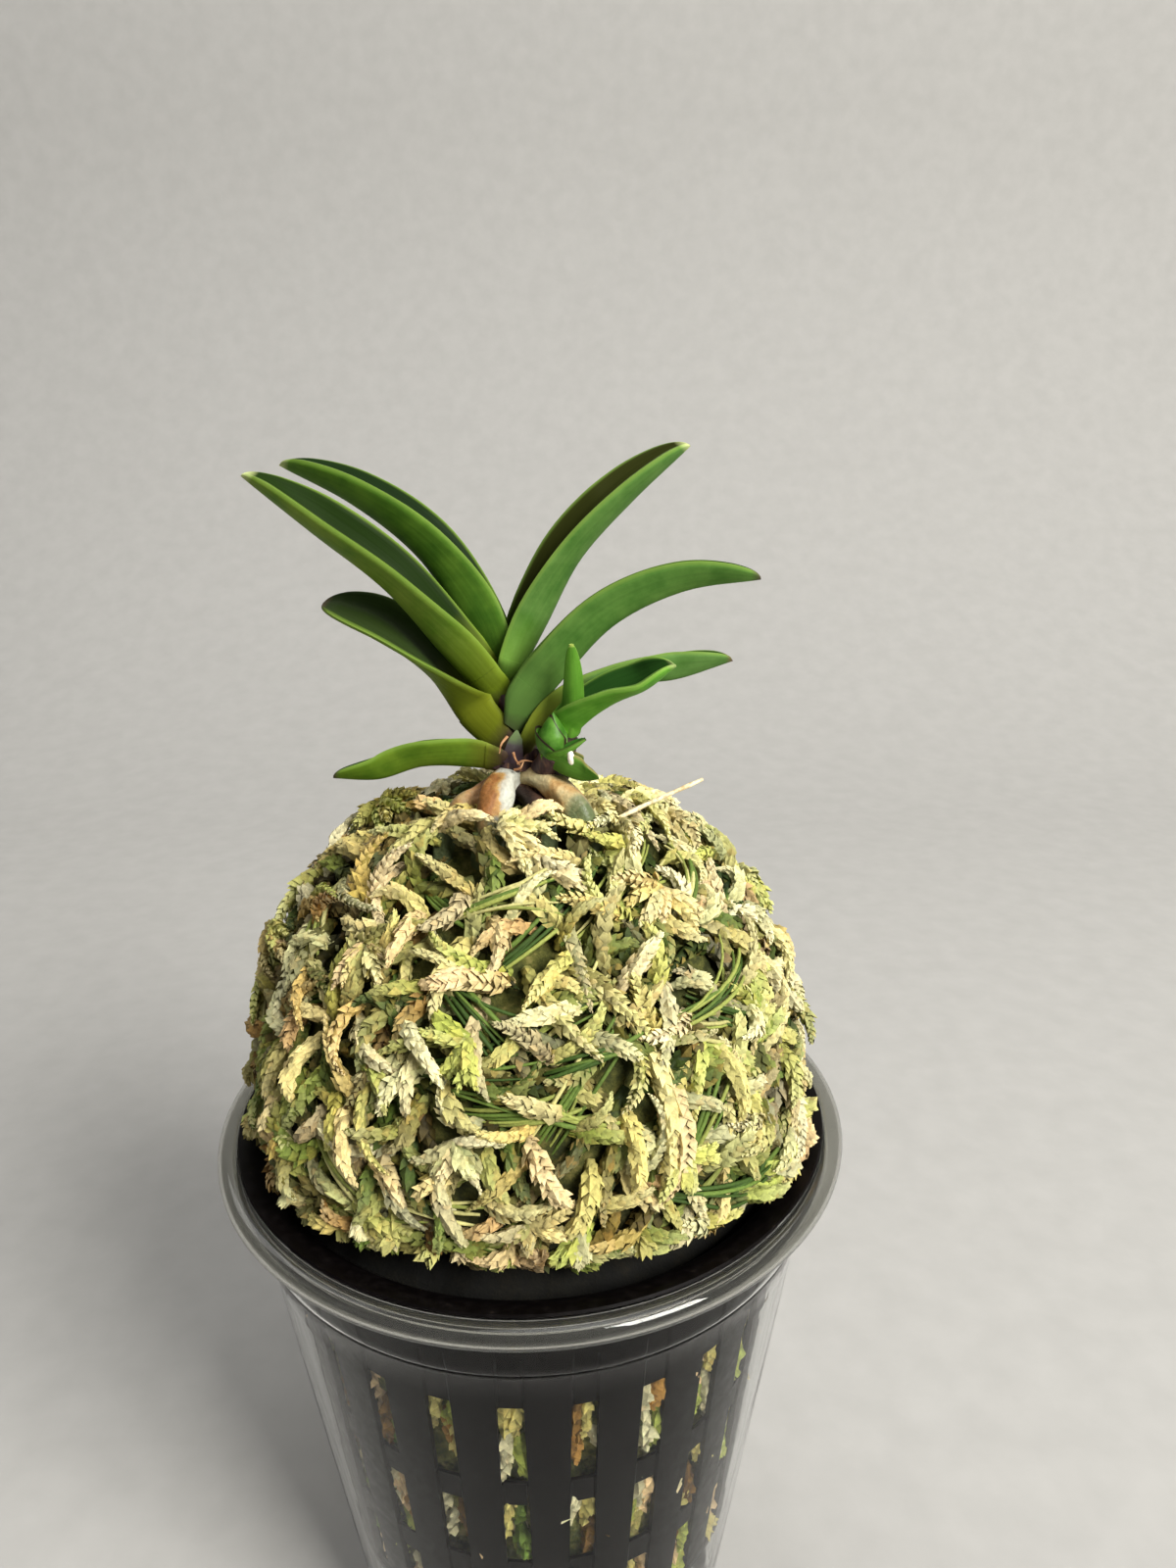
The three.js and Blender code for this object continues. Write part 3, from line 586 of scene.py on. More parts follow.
# Sphagnum branches, dried pale: matt, thin and slightly see-through scales with fine creases.
# The tint they carry holds painted light and shade as well as their colours.
leafy_moss, tree, shader, place = finish_of(
    "pale_dried_sphagnum", {"Roughness": 0.68, "IOR": 1.4, "Specular IOR Level": 0.35})
tint_in = add(tree, "Attribute", attribute_name="tint")
cells = add(tree, "TexNoise", {"Vector": place, "Scale": per_mm(0.5), "Detail": 4.0})
cell_light = add(tree, "MapRange",
                 {"Value": cells, "From Min": 0.3, "From Max": 0.7, "To Min": 0.78, "To Max": 1.16})
cell_tint = add(tree, "Mix", {MIX_FACTOR: 1.0, MIX_A: tint_in, MIX_B: cell_light},
                data_type="RGBA", blend_type="MULTIPLY")
cell_bump = add(tree, "Bump", {"Height": cells, "Strength": 0.55, "Distance": 0.22 * MM})
feed(shader, {"Base Color": cell_tint, "Normal": cell_bump})

BRANCH_SETS = [
    # name, count, polar range, rise, flick, length, width, scales, depth (deeper gets painted
    # shade)
    ["moss_deep", 270, (0.12, 1.84), (0.0, 0.8), (-0.6, 0.5), (9, 15), (2.5, 3.1), 36, 0.9],
    ["moss_mid", 330, (0.1, 1.80), (0.8, 1.9), (-0.6, 1.4), (9, 15), (2.2, 2.9), 60, 0.5],
    ["moss_outer", 290, (0.12, 1.76), (2.0, 3.6), (-0.8, 2.6), (9, 16), (2.1, 2.9), 70, 0.08],
    ["moss_crest", 220, (0.12, 1.72), (2.8, 4.6), (-0.6, 3.4), (7, 14), (1.9, 2.7), 66, 0.0],
    ["moss_fringe", 96, (1.72, 1.86), (1.2, 3.0), (-0.8, 3.0), (5, 10), (2.1, 2.9), 50, 0.1],
]
SIDEWAYS_SHARE, LOWEST_POLAR = 0.24, 1.98
golden = math.pi * (3 - math.sqrt(5))
for name, count, (top, low), rises, flicks, lengths, widths, scales, depth in BRANCH_SETS:
    number = np.arange(count)
    spread = (number + 0.5) / count
    polar = np.arccos(math.cos(top) - spread * (math.cos(top) - math.cos(low)))
    polar = polar + chance.normal(0, 0.04, count)
    turn = number * golden + chance.normal(0, 0.08, count)
    hanging = np.clip((polar - 0.55) / 0.7, 0, 1)
    heading = chance.normal(0, 1, count) * (2.4 - 1.6 * hanging)
    sideways = chance.uniform(0, 1, count) < SIDEWAYS_SHARE
    toward = np.sign(np.cos(turn)) * math.pi / 2
    heading = np.where(sideways, toward + 0.4 * heading, heading)
    start = polar - 0.12 * np.cos(heading)
    length = chance.uniform(*lengths, count)
    room = np.where(np.cos(heading) > 0.3, (LOWEST_POLAR - start) * DOME_RADIUS, 99)
    length = np.minimum(length, np.maximum(room, 5))
    paths = dome_paths(start, turn, heading, length, chance.normal(0, 1.3, count),
                       chance.uniform(*rises, count), chance.uniform(*flicks, count))
    tint, tip_tint = moss_tints(polar, turn, depth)
    width = chance.uniform(*widths, count)
    clear = clear_of_plant(paths)
    branches = leafy_branches(
        name, paths[clear], width[clear], tint[clear], tip_tint[clear], scales)
    branches.data.materials.append(leafy_moss)
    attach(branches, "root")
    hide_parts("moss")

# Long pale branches lie over the others. Most hang at the front, and three lie before the roots.
LONG_BRANCHES = np.array([
    # polar, turn in degrees, heading (0 is downhill, positive to the right), length, width
    [1.00, -61, 0.02, 20, 3.2], [1.11, -58, -0.02, 17, 3.0], [1.18, -69, 0.1, 10, 2.8],
    [1.32, -76, -0.2, 10, 2.9], [1.08, -45, 0.1, 12, 2.8], [1.22, -88, 0.4, 11, 2.7],
    [0.60, -123, 0.3, 9, 2.6], [0.74, -100, -0.6, 9, 2.6], [1.06, -137, -0.2, 11, 2.8],
    [1.22, -126, 0.7, 10, 2.7], [0.92, -118, 1.2, 12, 2.7], [0.86, -74, -1.3, 12, 2.8],
    [0.35, -141, 1.95, 9, 2.5], [0.33, -96, 1.8, 8, 2.4], [0.34, -34, -0.2, 8, 2.4],
])
LONG_SCALES = 84
polar, turn, heading, length, width = LONG_BRANCHES.T
turn, count = np.radians(turn), len(polar)
paths = dome_paths(polar, turn, heading, length, chance.normal(0, 0.35, count),
                   chance.uniform(4.8, 6.4, count), chance.uniform(0.6, 2.4, count))
tint, tip_tint = moss_tints(polar, turn)
long_shade = palette[chance.choice([CREAM, BLUSH, STRAW], count)]
long_branches = leafy_branches("moss_long_branches", paths, width, 0.4 * tint + 0.55 * long_shade,
                               0.4 * tip_tint + 0.6 * long_shade, LONG_SCALES)

# Heads: where a moss shoot ends, its youngest branches crowd into a tuft of short pale tips.
HEADS, TIPS_PER_HEAD, HEAD_SCALES = 26, 7, 36
number = np.arange(HEADS)
polar = np.arccos(1 - (number + 0.5) / HEADS * 1.12) + chance.normal(0, 0.06, HEADS)
turn = number * golden + 2.1 + chance.normal(0, 0.15, HEADS)
polar, turn = polar.repeat(TIPS_PER_HEAD), turn.repeat(TIPS_PER_HEAD)
count = len(polar)
heading = np.tile(np.linspace(-1.3, 1.3, TIPS_PER_HEAD), HEADS) + chance.normal(0, 0.3, count)
heading = heading + np.repeat(chance.normal(0, 0.9, HEADS), TIPS_PER_HEAD)
head_lift = chance.uniform(1.2, 3.2, HEADS).repeat(TIPS_PER_HEAD)
paths = dome_paths(
    polar, turn, heading, chance.uniform(4.5, 8.0, count), chance.normal(0, 0.5, count),
    head_lift + chance.uniform(0, 1.2, count), chance.uniform(-0.6, 2.6, count), root=head_lift)
tint, tip_tint = moss_tints(polar, turn)
head_pale = np.repeat(chance.uniform(0.1, 0.75, (HEADS, 1)), TIPS_PER_HEAD, axis=0)
head_shade = palette[chance.choice([CREAM, BLUSH, LIME], HEADS)].repeat(TIPS_PER_HEAD, axis=0)
tint = tint * (1 - head_pale) + head_shade * head_pale * 0.9
tip_tint = tip_tint * (1 - head_pale) + head_shade * head_pale
clear = clear_of_plant(paths)
heads = leafy_branches("moss_heads", paths[clear], chance.uniform(1.9, 2.6, count)[clear],
                       tint[clear], tip_tint[clear], HEAD_SCALES)

# Moss pressed on the pot's wall shows in its slots, and a few tips poke out through them.
SLOTS, WALL_RADIUS = SLOTS_AROUND * len(SLOT_ROWS), 34
SLOT_SCALES, SLOT_PATH_STEPS, POKE_SHARE, LOWEST_Z = 24, 9, 0.15, 27.5
slot = np.arange(SLOTS).repeat(4)
count = len(slot)
slot_high = np.array([high for _, high in SLOT_ROWS])[slot // SLOTS_AROUND]
start_z = slot_high + np.tile([1.5, 1.0, -4.5, -6.5], SLOTS) + chance.uniform(-1, 1, count)
drop = chance.uniform(8, 13, count)
aside = np.tile([-1.3, 1.3, -0.3, 0.9], SLOTS) + chance.normal(0, 0.5, count)
start_turn = SLOT_PHASE + (slot % SLOTS_AROUND) * period + aside / WALL_RADIUS
swing = chance.normal(0, 2.0, count) / WALL_RADIUS
press = chance.uniform(-2.5, -1.8, count)
poke = np.where(chance.uniform(0, 1, count) < POKE_SHARE, chance.uniform(0.5, 1.4, count), 0)
share = np.linspace(0, 1, SLOT_PATH_STEPS)
height = np.maximum(start_z[:, None] - np.outer(drop, share), LOWEST_Z)
bulge = 0.3 * np.sin(math.pi * share)
radius = pot_outer(height) + press[:, None] + np.outer(poke, share**2) + bulge
slot_paths = about_z(radius, start_turn[:, None] + np.outer(swing, share), height)
slot_tones = chance.choice([TAN, BROWN, LIME, CREAM, BLUSH, GREEN, STRAW],
                           p=[0.12, 0.08, 0.16, 0.24, 0.18, 0.08, 0.14], size=count)
slot_tints = palette[slot_tones] * chance.uniform(0.7, 1.0, (count, 1))
slot_moss = leafy_branches("moss_in_slots", slot_paths, chance.uniform(2.8, 3.6, count),
                           slot_tints, slot_tints, SLOT_SCALES)
for made in (long_branches, heads, slot_moss):
    made.data.materials.append(leafy_moss)
    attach(made, "root")
    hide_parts("moss")

# ---------------------------------------------------------------------------------------------
# Moss stems: the bare main stems of the sphagnum, laid in bundles between the branches. They
# are straight, ridged by dried strands, and greener than the leaves.
BUNDLES, STEMS_PER_BUNDLE, STRAND_SIDES = 80, 6, 5
number = np.arange(BUNDLES)
polar = np.arccos(1 - (number + 0.5) / BUNDLES * 1.25) + chance.normal(0, 0.05, BUNDLES)
turn = number * golden + 1.2 + chance.normal(0, 0.1, BUNDLES)
heading = math.pi / 2 + chance.normal(0, 0.5, BUNDLES)
length = chance.uniform(12, 26, BUNDLES)
rise = chance.uniform(0.6, 2.6, BUNDLES)
shades = np.array([colour(shade)[:3] for shade in ("#3c5420", "#5f7632", "#8f984c", "#c2bd7c")])
bundle_shade = chance.integers(0, len(shades), BUNDLES)
flick = chance.uniform(-0.6, 0.8, BUNDLES)
curl = chance.normal(0, 0.35, BUNDLES)
# The bundles that lie on top: [polar, turn in degrees, heading, length, shade].
TOP_BUNDLES = np.array([
    [0.77, -111, 1.0, 15, 0], [0.99, -60, 1.6, 20, 1], [1.05, -84, 1.8, 13, 0],
    [0.60, -113, 1.8, 16, 2], [1.45, -66, 1.35, 21, 0], [0.72, -40, 1.9, 14, 2],
])
tops = np.arange(len(TOP_BUNDLES))
polar[tops], turn[tops], heading[tops], length[tops], bundle_shade[tops] = TOP_BUNDLES.T
turn[tops] = np.radians(turn[tops])
rise[tops], flick[tops] = 3.7, 0.8
stem_paths, stem_radii, stem_tints = [], [], []
for strand in range(STEMS_PER_BUNDLE):
    shift = (strand - 2.5) * 0.36 + chance.normal(0, 0.12, BUNDLES)
    stem_paths.append(dome_paths(
        polar + shift / DOME_RADIUS, turn + chance.normal(0, 0.03, BUNDLES), heading, length,
        curl + chance.normal(0, 0.25, BUNDLES), rise + chance.uniform(-0.3, 0.5, BUNDLES),
        flick + chance.normal(0, 0.2, BUNDLES)))
    ends = np.sin(np.linspace(0.25, math.pi - 0.25, PATH_STEPS)) ** 0.4
    stem_radii.append(chance.uniform(0.2, 0.36, (BUNDLES, 1)) * ends)
    strand_shade = np.clip(bundle_shade + chance.integers(-1, 2, BUNDLES), 0, len(shades) - 1)
    stem_tints.append(shades[strand_shade] * chance.uniform(0.75, 1.1, (BUNDLES, 1)))
paths, radii, tints = [np.concatenate(rows) for rows in (stem_paths, stem_radii, stem_tints)]
clear = clear_of_plant(paths)
points, faces = tubes(paths[clear], radii[clear], STRAND_SIDES)
moss_stems = piece("moss_stems", points, faces, sharp=80)
paint(moss_stems, np.repeat(tints[clear], paths.shape[1] * STRAND_SIDES, axis=0))
moss_stems.data.materials.append(leafy_moss)
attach(moss_stems, "root")
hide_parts("moss")

# ---------------------------------------------------------------------------------------------
# Folded leaves: thick, leathery blades folded lengthwise along the keel, seven in a flat fan
# and three on the offshoot. Each grew from a sheath that wraps the stem, and stands out a
# little from it at their joint.

# keel: points from the stem to the tip. half: slant width of each half. near and far: height
# of the front and back margins over the keel, at five even places. joint: where the blade
# parts from its sheath. blunt: how far up the blade keeps its width. back and back_pale:
# the outer face's colours. face: the inner face's colour, its own dark green deepened with
# painted shade of the fold. edge, tip and foot: the colours of the thin margin line, which
# where pale is partly painted highlight, of the last millimetres, and of the foot. foot_end
# and stain_end: where the foot's colour fades out, and where its purple-brown stain stops.
LEAF_TERMS = ("keel", "half", "near", "far", "joint", "blunt", "back", "back_pale", "face",
              "edge", "tip", "foot", "foot_end", "stain_end")
LEAF_ROWS = {
    "leaf_left_1": [
        [[-2.6, 3.7, 159.1], [-7.7, 3.3, 168], [-13.3, 3.5, 176.7], [-21.2, 3.7, 183.4],
         [-30.3, 4, 188.4]],
        6, [2.6, 5.5, 4.9, 4.1, 3.4], [2.6, 4.9, 5.1, 4.3, 3], 0.1, 5,
        "#3a5e1c", "#577a28", "#14260c", "#7d9a44", "#c5cf8e", "#4a7526", 0.16, 0],
    "leaf_right_1": [
        [[-1.3, 2, 159], [3.4, 2.5, 167.7], [8.1, 3, 176.4], [14.8, 3.5, 183.7],
         [22.1, 4, 190.4]],
        5.4, [2.7, 4.2, 3.2, 2.8, 2.1], [3, 5, 5.5, 5, 3.5], 0.1, 5,
        "#40682a", "#5f8340", "#2b2f10", "#7d9a44", "#c5cf8e", "#64882e", 0.2, 0],
    "leaf_left_2": [
        [[-3.2, 0.5, 156.4], [-10.3, -0.3, 164.7], [-17, -1.2, 173.4], [-25.2, -2.1, 180.6],
         [-33.4, -3, 187.8]],
        5.6, [3.9, 4.9, 3.4, 2.8, 2.7], [4.4, 4.9, 4.8, 5, 2.5], 0.12, 5,
        "#4b6c1d", "#6c8232", "#1b2d0b", "#7d9a44", "#c5cf8e", "#687a1a", 0.24, 0.02],
    "leaf_right_2": [
        [[-0.2, -1.5, 154.2], [5.8, -2.1, 161.8], [12.4, -2.7, 168.9], [21, -3.3, 173.2],
         [30.6, -4, 174.8]],
        5.4, [4.8, 5, 4.8, 4.4, 3.4], [5.4, 4.8, 3.9, 3.2, 2.2], 0.16, 5,
        "#3e6628", "#5a803a", "#1a3310", "#7d9a44", "#4a3a34", "#567638", 0.26, 0],
    "leaf_left_3": [
        [[-2.5, -1.2, 150.3], [-7.7, 0, 154.5], [-12.5, 1, 162.1], [-18.5, 1.7, 168.1],
         [-26, 2.5, 170.7]],
        5.8, [4.8, 5.7, 1.6, -0.7, -0.5], [3.6, 3.4, 2.7, 2.9, 3], 0.24, 5,
        "#4e681c", "#6a7d2a", "#283813", "#7d9a44", "#5a4a3a", "#6c741a", 0.42, 0.06],
    "leaf_right_3": [
        [[0.3, -1, 150.2], [5.2, 0.5, 156.5], [12.7, 2, 159.5], [20.8, 3.5, 160],
         [28.5, 5, 162.1]],
        4.6, [1.8, 3, 3.4, 4.3, 3.1], [0.2, 0.5, 1.3, 2.9, 3], 0.26, 5,
        "#40652a", "#5a7e40", "#1a3310", "#7d9a44", "#6a5040", "#6c7422", 0.34, 0.03],
    "leaf_left_4": [
        [[0.2, -4.0, 149.2], [-6.6, -3.6, 150.1], [-13.0, -4, 150.4], [-19, -5, 149],
         [-24.6, -6, 149.6]],
        4.2, [2.4, 3.9, 3.7, 3.8, 3], [2, 2.2, 2.1, 2.1, 0.6], 0.2, 5,
        "#405c15", "#5e7722", "#1a3310", "#7d9a44", "#4a3a34", "#7a7428", 0.24, 0.15],
    "offshoot_leaf_long": [
        [[5.5, -5, 153], [8.5, -6, 156.7], [12.1, -7, 159.7], [16.3, -8, 162], [19.8, -9, 165]],
        4.2, [3.9, 3.7, 2.6, 1.6, 2], [3.7, 3.5, 3.2, 3.2, 4], 0.14, 5,
        "#427a20", "#649a36", "#24461a", "#8db050", "#8a9a60", "#5aa022", 0.2, 0],
    "offshoot_leaf_upright": [
        [[6.3, -6.0, 153.8], [6.8, -6.6, 158.0], [7.0, -7.1, 162.8], [6.8, -7.5, 167.5]],
        1.95, [1.1, 1.1, 1.0, 0.8, 0.6], [1.1, 1.1, 1.0, 0.8, 0.6], 0.04, 1.7,
        "#42701f", "#5c8c30", "#24461a", "#8db050", "#b0c060", "#4f8a2c", 0.1, 0],
    "offshoot_leaf_stub": [
        [[3.2, -7.0, 151.7], [5.8, -9.2, 150.8], [8.0, -9.6, 150.2], [10.1, -9.2, 150.3]],
        3.3, [1.0, 2.8, 3.1, 2.9, 1.6], [0.8, 2.2, 2.5, 2.4, 1.2], 0.08, 5,
        "#3c661f", "#577f30", "#24461a", "#a58a5c", "#33261f", "#5c7a30", 0.12, 0.02],
}
LEAVES = {name: dict(zip(LEAF_TERMS, row)) for name, row in LEAF_ROWS.items()}
KEEL_THICKNESS, MARGIN_THICKNESS, KEEL_ROUNDING, HALF_BULGE = 1.15, 0.75, 0.012, 0.075
ACROSS, BLADE_RINGS, SHEATH_RINGS, CURVE_STEPS = 17, 44, 9, 400
FIVE_PLACES = np.linspace(0, 1, 5)


def through(knots, values, at):
    """Smooth curve through the values at the knots, read at the places asked for."""
    knots, values = np.asarray(knots, float), np.asarray(values, float)
    slope = np.gradient(values, knots, axis=0)
    i = np.clip(np.searchsorted(knots, at, side="right") - 1, 0, len(knots) - 2)
    step = knots[i + 1] - knots[i]
    t = (at - knots[i]) / step
    if values.ndim > 1:
        t, step = t[:, None], step[:, None]
    ease = t * t * (3 - 2 * t)
    bend = slope[i] * (t * (1 - t) ** 2) + slope[i + 1] * (t * t * (t - 1))
    return values[i] * (1 - ease) + values[i + 1] * ease + step * bend


def lengths_along(points):
    """How far each point lies along the line of points."""
    return np.concatenate([[0], np.cumsum(np.linalg.norm(np.diff(points, axis=0), axis=1))])


def smooth_path(points, share):
    """Points at these shares of the length of a smooth curve through the given points."""
    chord = lengths_along(points)
    fine = through(chord, points, np.linspace(0, chord[-1], CURVE_STEPS))
    length = lengths_along(fine)
    place = np.asarray(share) * length[-1]
    return np.stack([np.interp(place, length, fine[:, axis]) for axis in range(3)], axis=-1)


def folded_leaf(name, leaf, start, end, stations, grow=0.0):
    """A stretch of folded leaf as a closed piece, with its masks as point attributes. Its
    section is kept as heights and depths: up the fold, and out towards the front."""
    closer = 1.0 if end > 0.9 else 1.2
    share = start + (end - start) * np.sin(np.linspace(0, math.pi / 2, stations)) ** closer
    keel, before, after = [smooth_path(leaf["keel"], np.clip(share + shift, 0, 1))
                           for shift in (0, -0.01, 0.01)]
    ahead = unit(after - before)
    # The fan's leaves open upwards from the keel, and the upright one opens to the back.
    if name.startswith("offshoot_leaf_upright"):
        opening = unit(np.cross([-1.0, 0.0, 0.0], ahead))
        front = unit(np.cross(ahead, opening))
    else:
        to_left = leaf["keel"][-1][0] < leaf["keel"][0][0]
        opening = unit(np.cross(ahead, [0.0, -1.0 if to_left else 1.0, 0.0]))
        front = np.cross(opening, ahead)
        front *= -np.sign(front[:, 1:2])
    rounding = np.sqrt(np.maximum(1 - share ** leaf["blunt"], 0))
    width = leaf["half"] * (0.8 + 0.2 * np.sin(np.minimum(share / 0.35, 1) * math.pi / 2))
    # At its foot the sheath narrows to a point between its neighbours.
    width = np.maximum(width * rounding * np.interp(share, [0, 0.09], [0.6, 1]), 0.25)[:, None]
    place = np.linspace(-1, 1, ACROSS)
    blunted = math.sqrt(KEEL_ROUNDING)
    ridge = (np.sqrt(place**2 + KEEL_ROUNDING) - blunted) / (math.sqrt(1 + KEEL_ROUNDING) - blunted)
    skin = np.empty((2, stations, ACROSS))
    for heights, sign in ((leaf["far"], -1), (leaf["near"], 1)):
        half = place * sign >= 0
        part = np.abs(place[half])
        height = (through(FIVE_PLACES, heights, share) * rounding)[:, None]
        height = np.clip(height, -0.97 * width, 0.97 * width)
        depth = np.sqrt(np.maximum(width**2 - height**2, (0.22 * width) ** 2))
        bulge = HALF_BULGE * width * np.sin(math.pi * part**0.9)
        skin[0][:, half] = height * ridge[half] - bulge * depth / width
        skin[1][:, half] = sign * (depth * part + bulge * height / width)
    run_up, run_out = np.gradient(skin, axis=2)
    inward = np.stack([run_out, -run_up]) / (np.hypot(run_up, run_out) + 1e-9)
    thick = KEEL_THICKNESS + (MARGIN_THICKNESS - KEEL_THICKNESS) * np.abs(place)
    thick = thick * np.minimum(1, 0.3 + 0.22 * width)
    skin = skin - grow * inward
    lining = skin + inward * (thick + grow)
    limit = 0.05 * place
    lining[1] = np.where(place > 0, np.maximum(lining[1], limit), np.minimum(lining[1], limit))
    lining[1][:, ACROSS // 2] = 0
    # A rounded margin: one more point beyond the two skins on each side
    margins = []
    for edge, beside in ((-1, -2), (0, 1)):
        lean = skin[..., edge] - skin[..., beside]
        lean = lean / (np.hypot(*lean) + 1e-9) * (0.4 * thick[:, edge])
        margins.append(((skin[..., edge] + lining[..., edge]) / 2 + lean)[..., None])
    ups, outs = np.concatenate([skin, margins[0], lining[..., ::-1], margins[1]], axis=2)
    points = keel[:, None] + opening[:, None] * ups[..., None] + front[:, None] * outs[..., None]
    ring = 2 * ACROSS + 2
    j = np.arange(ACROSS - 1)
    cap = np.stack([j, j + 1, 2 * ACROSS - 1 - j, 2 * ACROSS - j], axis=1)
    corner = np.array([[ACROSS - 1, ACROSS, ACROSS + 1], [2 * ACROSS, 2 * ACROSS + 1, 0]])
    last = (stations - 1) * ring
    faces = [np.concatenate([grid_faces(stations, ring), cap[:, ::-1], cap + last]),
             np.concatenate([corner[:, ::-1], corner + last])]
    # The right-hand leaves are built mirror-wise, so their faces turn the other way.
    if np.sum(np.cross(opening[0], front[0]) * ahead[0]) > 0:
        faces = [rows[:, ::-1] for rows in faces]
    made = piece(name, points.reshape(-1, 3), faces, sharp=60)
    for mask, values in (
        ("upper", np.concatenate([np.zeros(ACROSS), [0.3], np.ones(ACROSS), [0.3]])),
        ("edge", np.concatenate([np.abs(place), [1.06], np.abs(place[::-1]), [1.06]])),
        ("across", np.concatenate([place, [1.06], place[::-1], [-1.06]])),
        ("along", share[:, None]),
    ):
        mark(made, mask, np.broadcast_to(values, (stations, ring)))
    return made


def leaf_finish(name, leaf):
    """Leaf skin in the leaf's colours, with painted shade inside the fold and a margin line that is
    partly painted highlight.
    """
    material, tree, shader, place = finish_of(name, {"IOR": 1.4, "Specular IOR Level": 0.05})
    upper, edge, across, along = [add(tree, "Attribute", attribute_name=mask).outputs["Fac"]
                                  for mask in ("upper", "edge", "across", "along")]
    # Veins run the length of the blade, about 0.5 mm apart.
    flat = add(tree, "CombineXYZ", {"X": across, "Y": along})
    drawn = add(tree, "Mapping", {"Vector": flat, "Scale": (11.0, 1.6, 1.0)})
    veins = add(tree, "TexNoise", {"Vector": drawn, "Scale": 1.0, "Detail": 3.0})
    mottle = add(tree, "TexNoise",
                 {"Vector": place, "Scale": per_mm(4.5), "Detail": 5.0, "Roughness": 0.6})
    skin = add(tree, "ValToRGB", {"Fac": mottle},
               stops=[(0.32, leaf["back"]), (0.68, leaf["back_pale"])])
    # The inner face: its own dark green, deepened with painted shade of the fold.
    skin = add(tree, "Mix", {MIX_FACTOR: upper, MIX_A: skin, MIX_B: colour(leaf["face"])},
               data_type="RGBA")
    vein_light = add(tree, "MapRange", {"Value": veins, "From Min": 0.3, "From Max": 0.7,
                                        "To Min": 0.9, "To Max": 1.1})
    skin = add(tree, "Mix", {MIX_FACTOR: 1.0, MIX_A: skin, MIX_B: vein_light},
               data_type="RGBA", blend_type="MULTIPLY")
    wander = add(tree, "Math", {0: mottle, 1: 0.12}, operation="MULTIPLY")
    wavy = add(tree, "Math", {0: along, 1: wander}, operation="ADD")
    # Over the veined skin lie the margin line, pale ones partly painted highlight, the olive foot,
    # its stain and the tip.
    for value, start, end, low, high, shade in (
        (edge, 0.97, 1.06, 0.0, 0.6, leaf["edge"]),
        (wavy, leaf["foot_end"] - 0.1, leaf["foot_end"] + 0.14, 0.85, 0.0, leaf["foot"]),
        (wavy, leaf["stain_end"] + 0.03, leaf["stain_end"] + 0.11, 0.9, 0.0, "#3c2a2c"),
        (along, 0.968, 0.998, 0.0, 0.9, leaf["tip"]),
    ):
        cover = add(tree, "MapRange", {"Value": value, "From Min": start, "From Max": end,
                                       "To Min": low, "To Max": high})
        skin = add(tree, "Mix", {MIX_FACTOR: cover, MIX_A: skin, MIX_B: colour(shade)},
                   data_type="RGBA")
    wax = add(tree, "MapRange", {"Value": mottle, "From Min": 0.3, "From Max": 0.7,
                                 "To Min": 0.4, "To Max": 0.52})
    relief = add(tree, "Bump", {"Height": veins, "Strength": 0.35, "Distance": 0.12 * MM})
    feed(shader, {"Base Color": skin, "Roughness": wax, "Normal": relief})
    return material


leaf_skins = {}
for name, leaf in LEAVES.items():
    # Leathery leaf with a wax skin: deep green inside the fold, partly painted shade, fresher
    # green outside, a pale thin margin that is partly painted highlight, and an olive foot. The
    # offshoot's leaves are younger and brighter.
    leaf_skins[name] = leaf_finish(f"waxy_{name}", leaf)
    blade = folded_leaf(f"{name}_blade", leaf, leaf["joint"], 1.0, BLADE_RINGS)
    blade.data.materials.append(leaf_skins[name])
    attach(blade, "root")
    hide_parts(name)

# ---------------------------------------------------------------------------------------------
# Stem: a short upright column hidden by the leaf sheaths that wrap it. The lowest sheaths are
# old, dark purple-brown and split into dry tan fibres.
STEM_PATH = [[-0.7, 0, 138.5], [-0.6, 0, 148], [-0.8, 0.8, 153], [-1.6, 1.6, 159]]


def rod(name, knots, radius, rings, sides):
    """A round rod along a smooth curve: radius gives its size at each share of the way."""
    share = np.linspace(0, 1, rings)
    points, faces = tubes(smooth_path(knots, share)[None], radius(share)[None], sides)
    return piece(name, points, faces)


stem_column = rod("stem_column", STEM_PATH, rings=26, sides=28,
                  radius=lambda share: 3.2 - 0.9 * share + 0.12 * np.sin(share * 40))
# Old stem and sheath skin: dry, matt, purple-brown with olive and tan streaks up it.
old_stem, tree, shader, place = finish_of("old_sheath_skin", {"IOR": 1.45, "Roughness": 0.6})
upward = add(tree, "Mapping", {"Vector": place, "Scale": (1.0, 1.0, 0.25)})
fibre = add(tree, "TexNoise", {"Vector": upward, "Scale": per_mm(0.7), "Detail": 6.0})
fibre_colour = add(tree, "ValToRGB", {"Fac": fibre}, stops=[
    (0.3, "#1c1216"), (0.5, "#3f2a2e"), (0.62, "#5a4038"), (0.75, "#a0764a")])
fibre_bump = add(tree, "Bump", {"Height": fibre, "Strength": 0.6, "Distance": 0.2 * MM})
feed(shader, {"Base Color": fibre_colour, "Normal": fibre_bump})
stem_column.data.materials.append(old_stem)
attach(stem_column, "root")
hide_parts("stem")

# A sheath goes on from the foot of its blade in the same skin, and wraps the stem.
for name, leaf in LEAVES.items():
    sheath = folded_leaf(f"{name}_sheath", leaf, 0.0, leaf["joint"] + 0.004, SHEATH_RINGS, grow=0.1)
    sheath.data.materials.append(leaf_skins[name])
    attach(sheath, "root")
    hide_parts("offshoot_stem" if name.startswith("offshoot") else "stem")

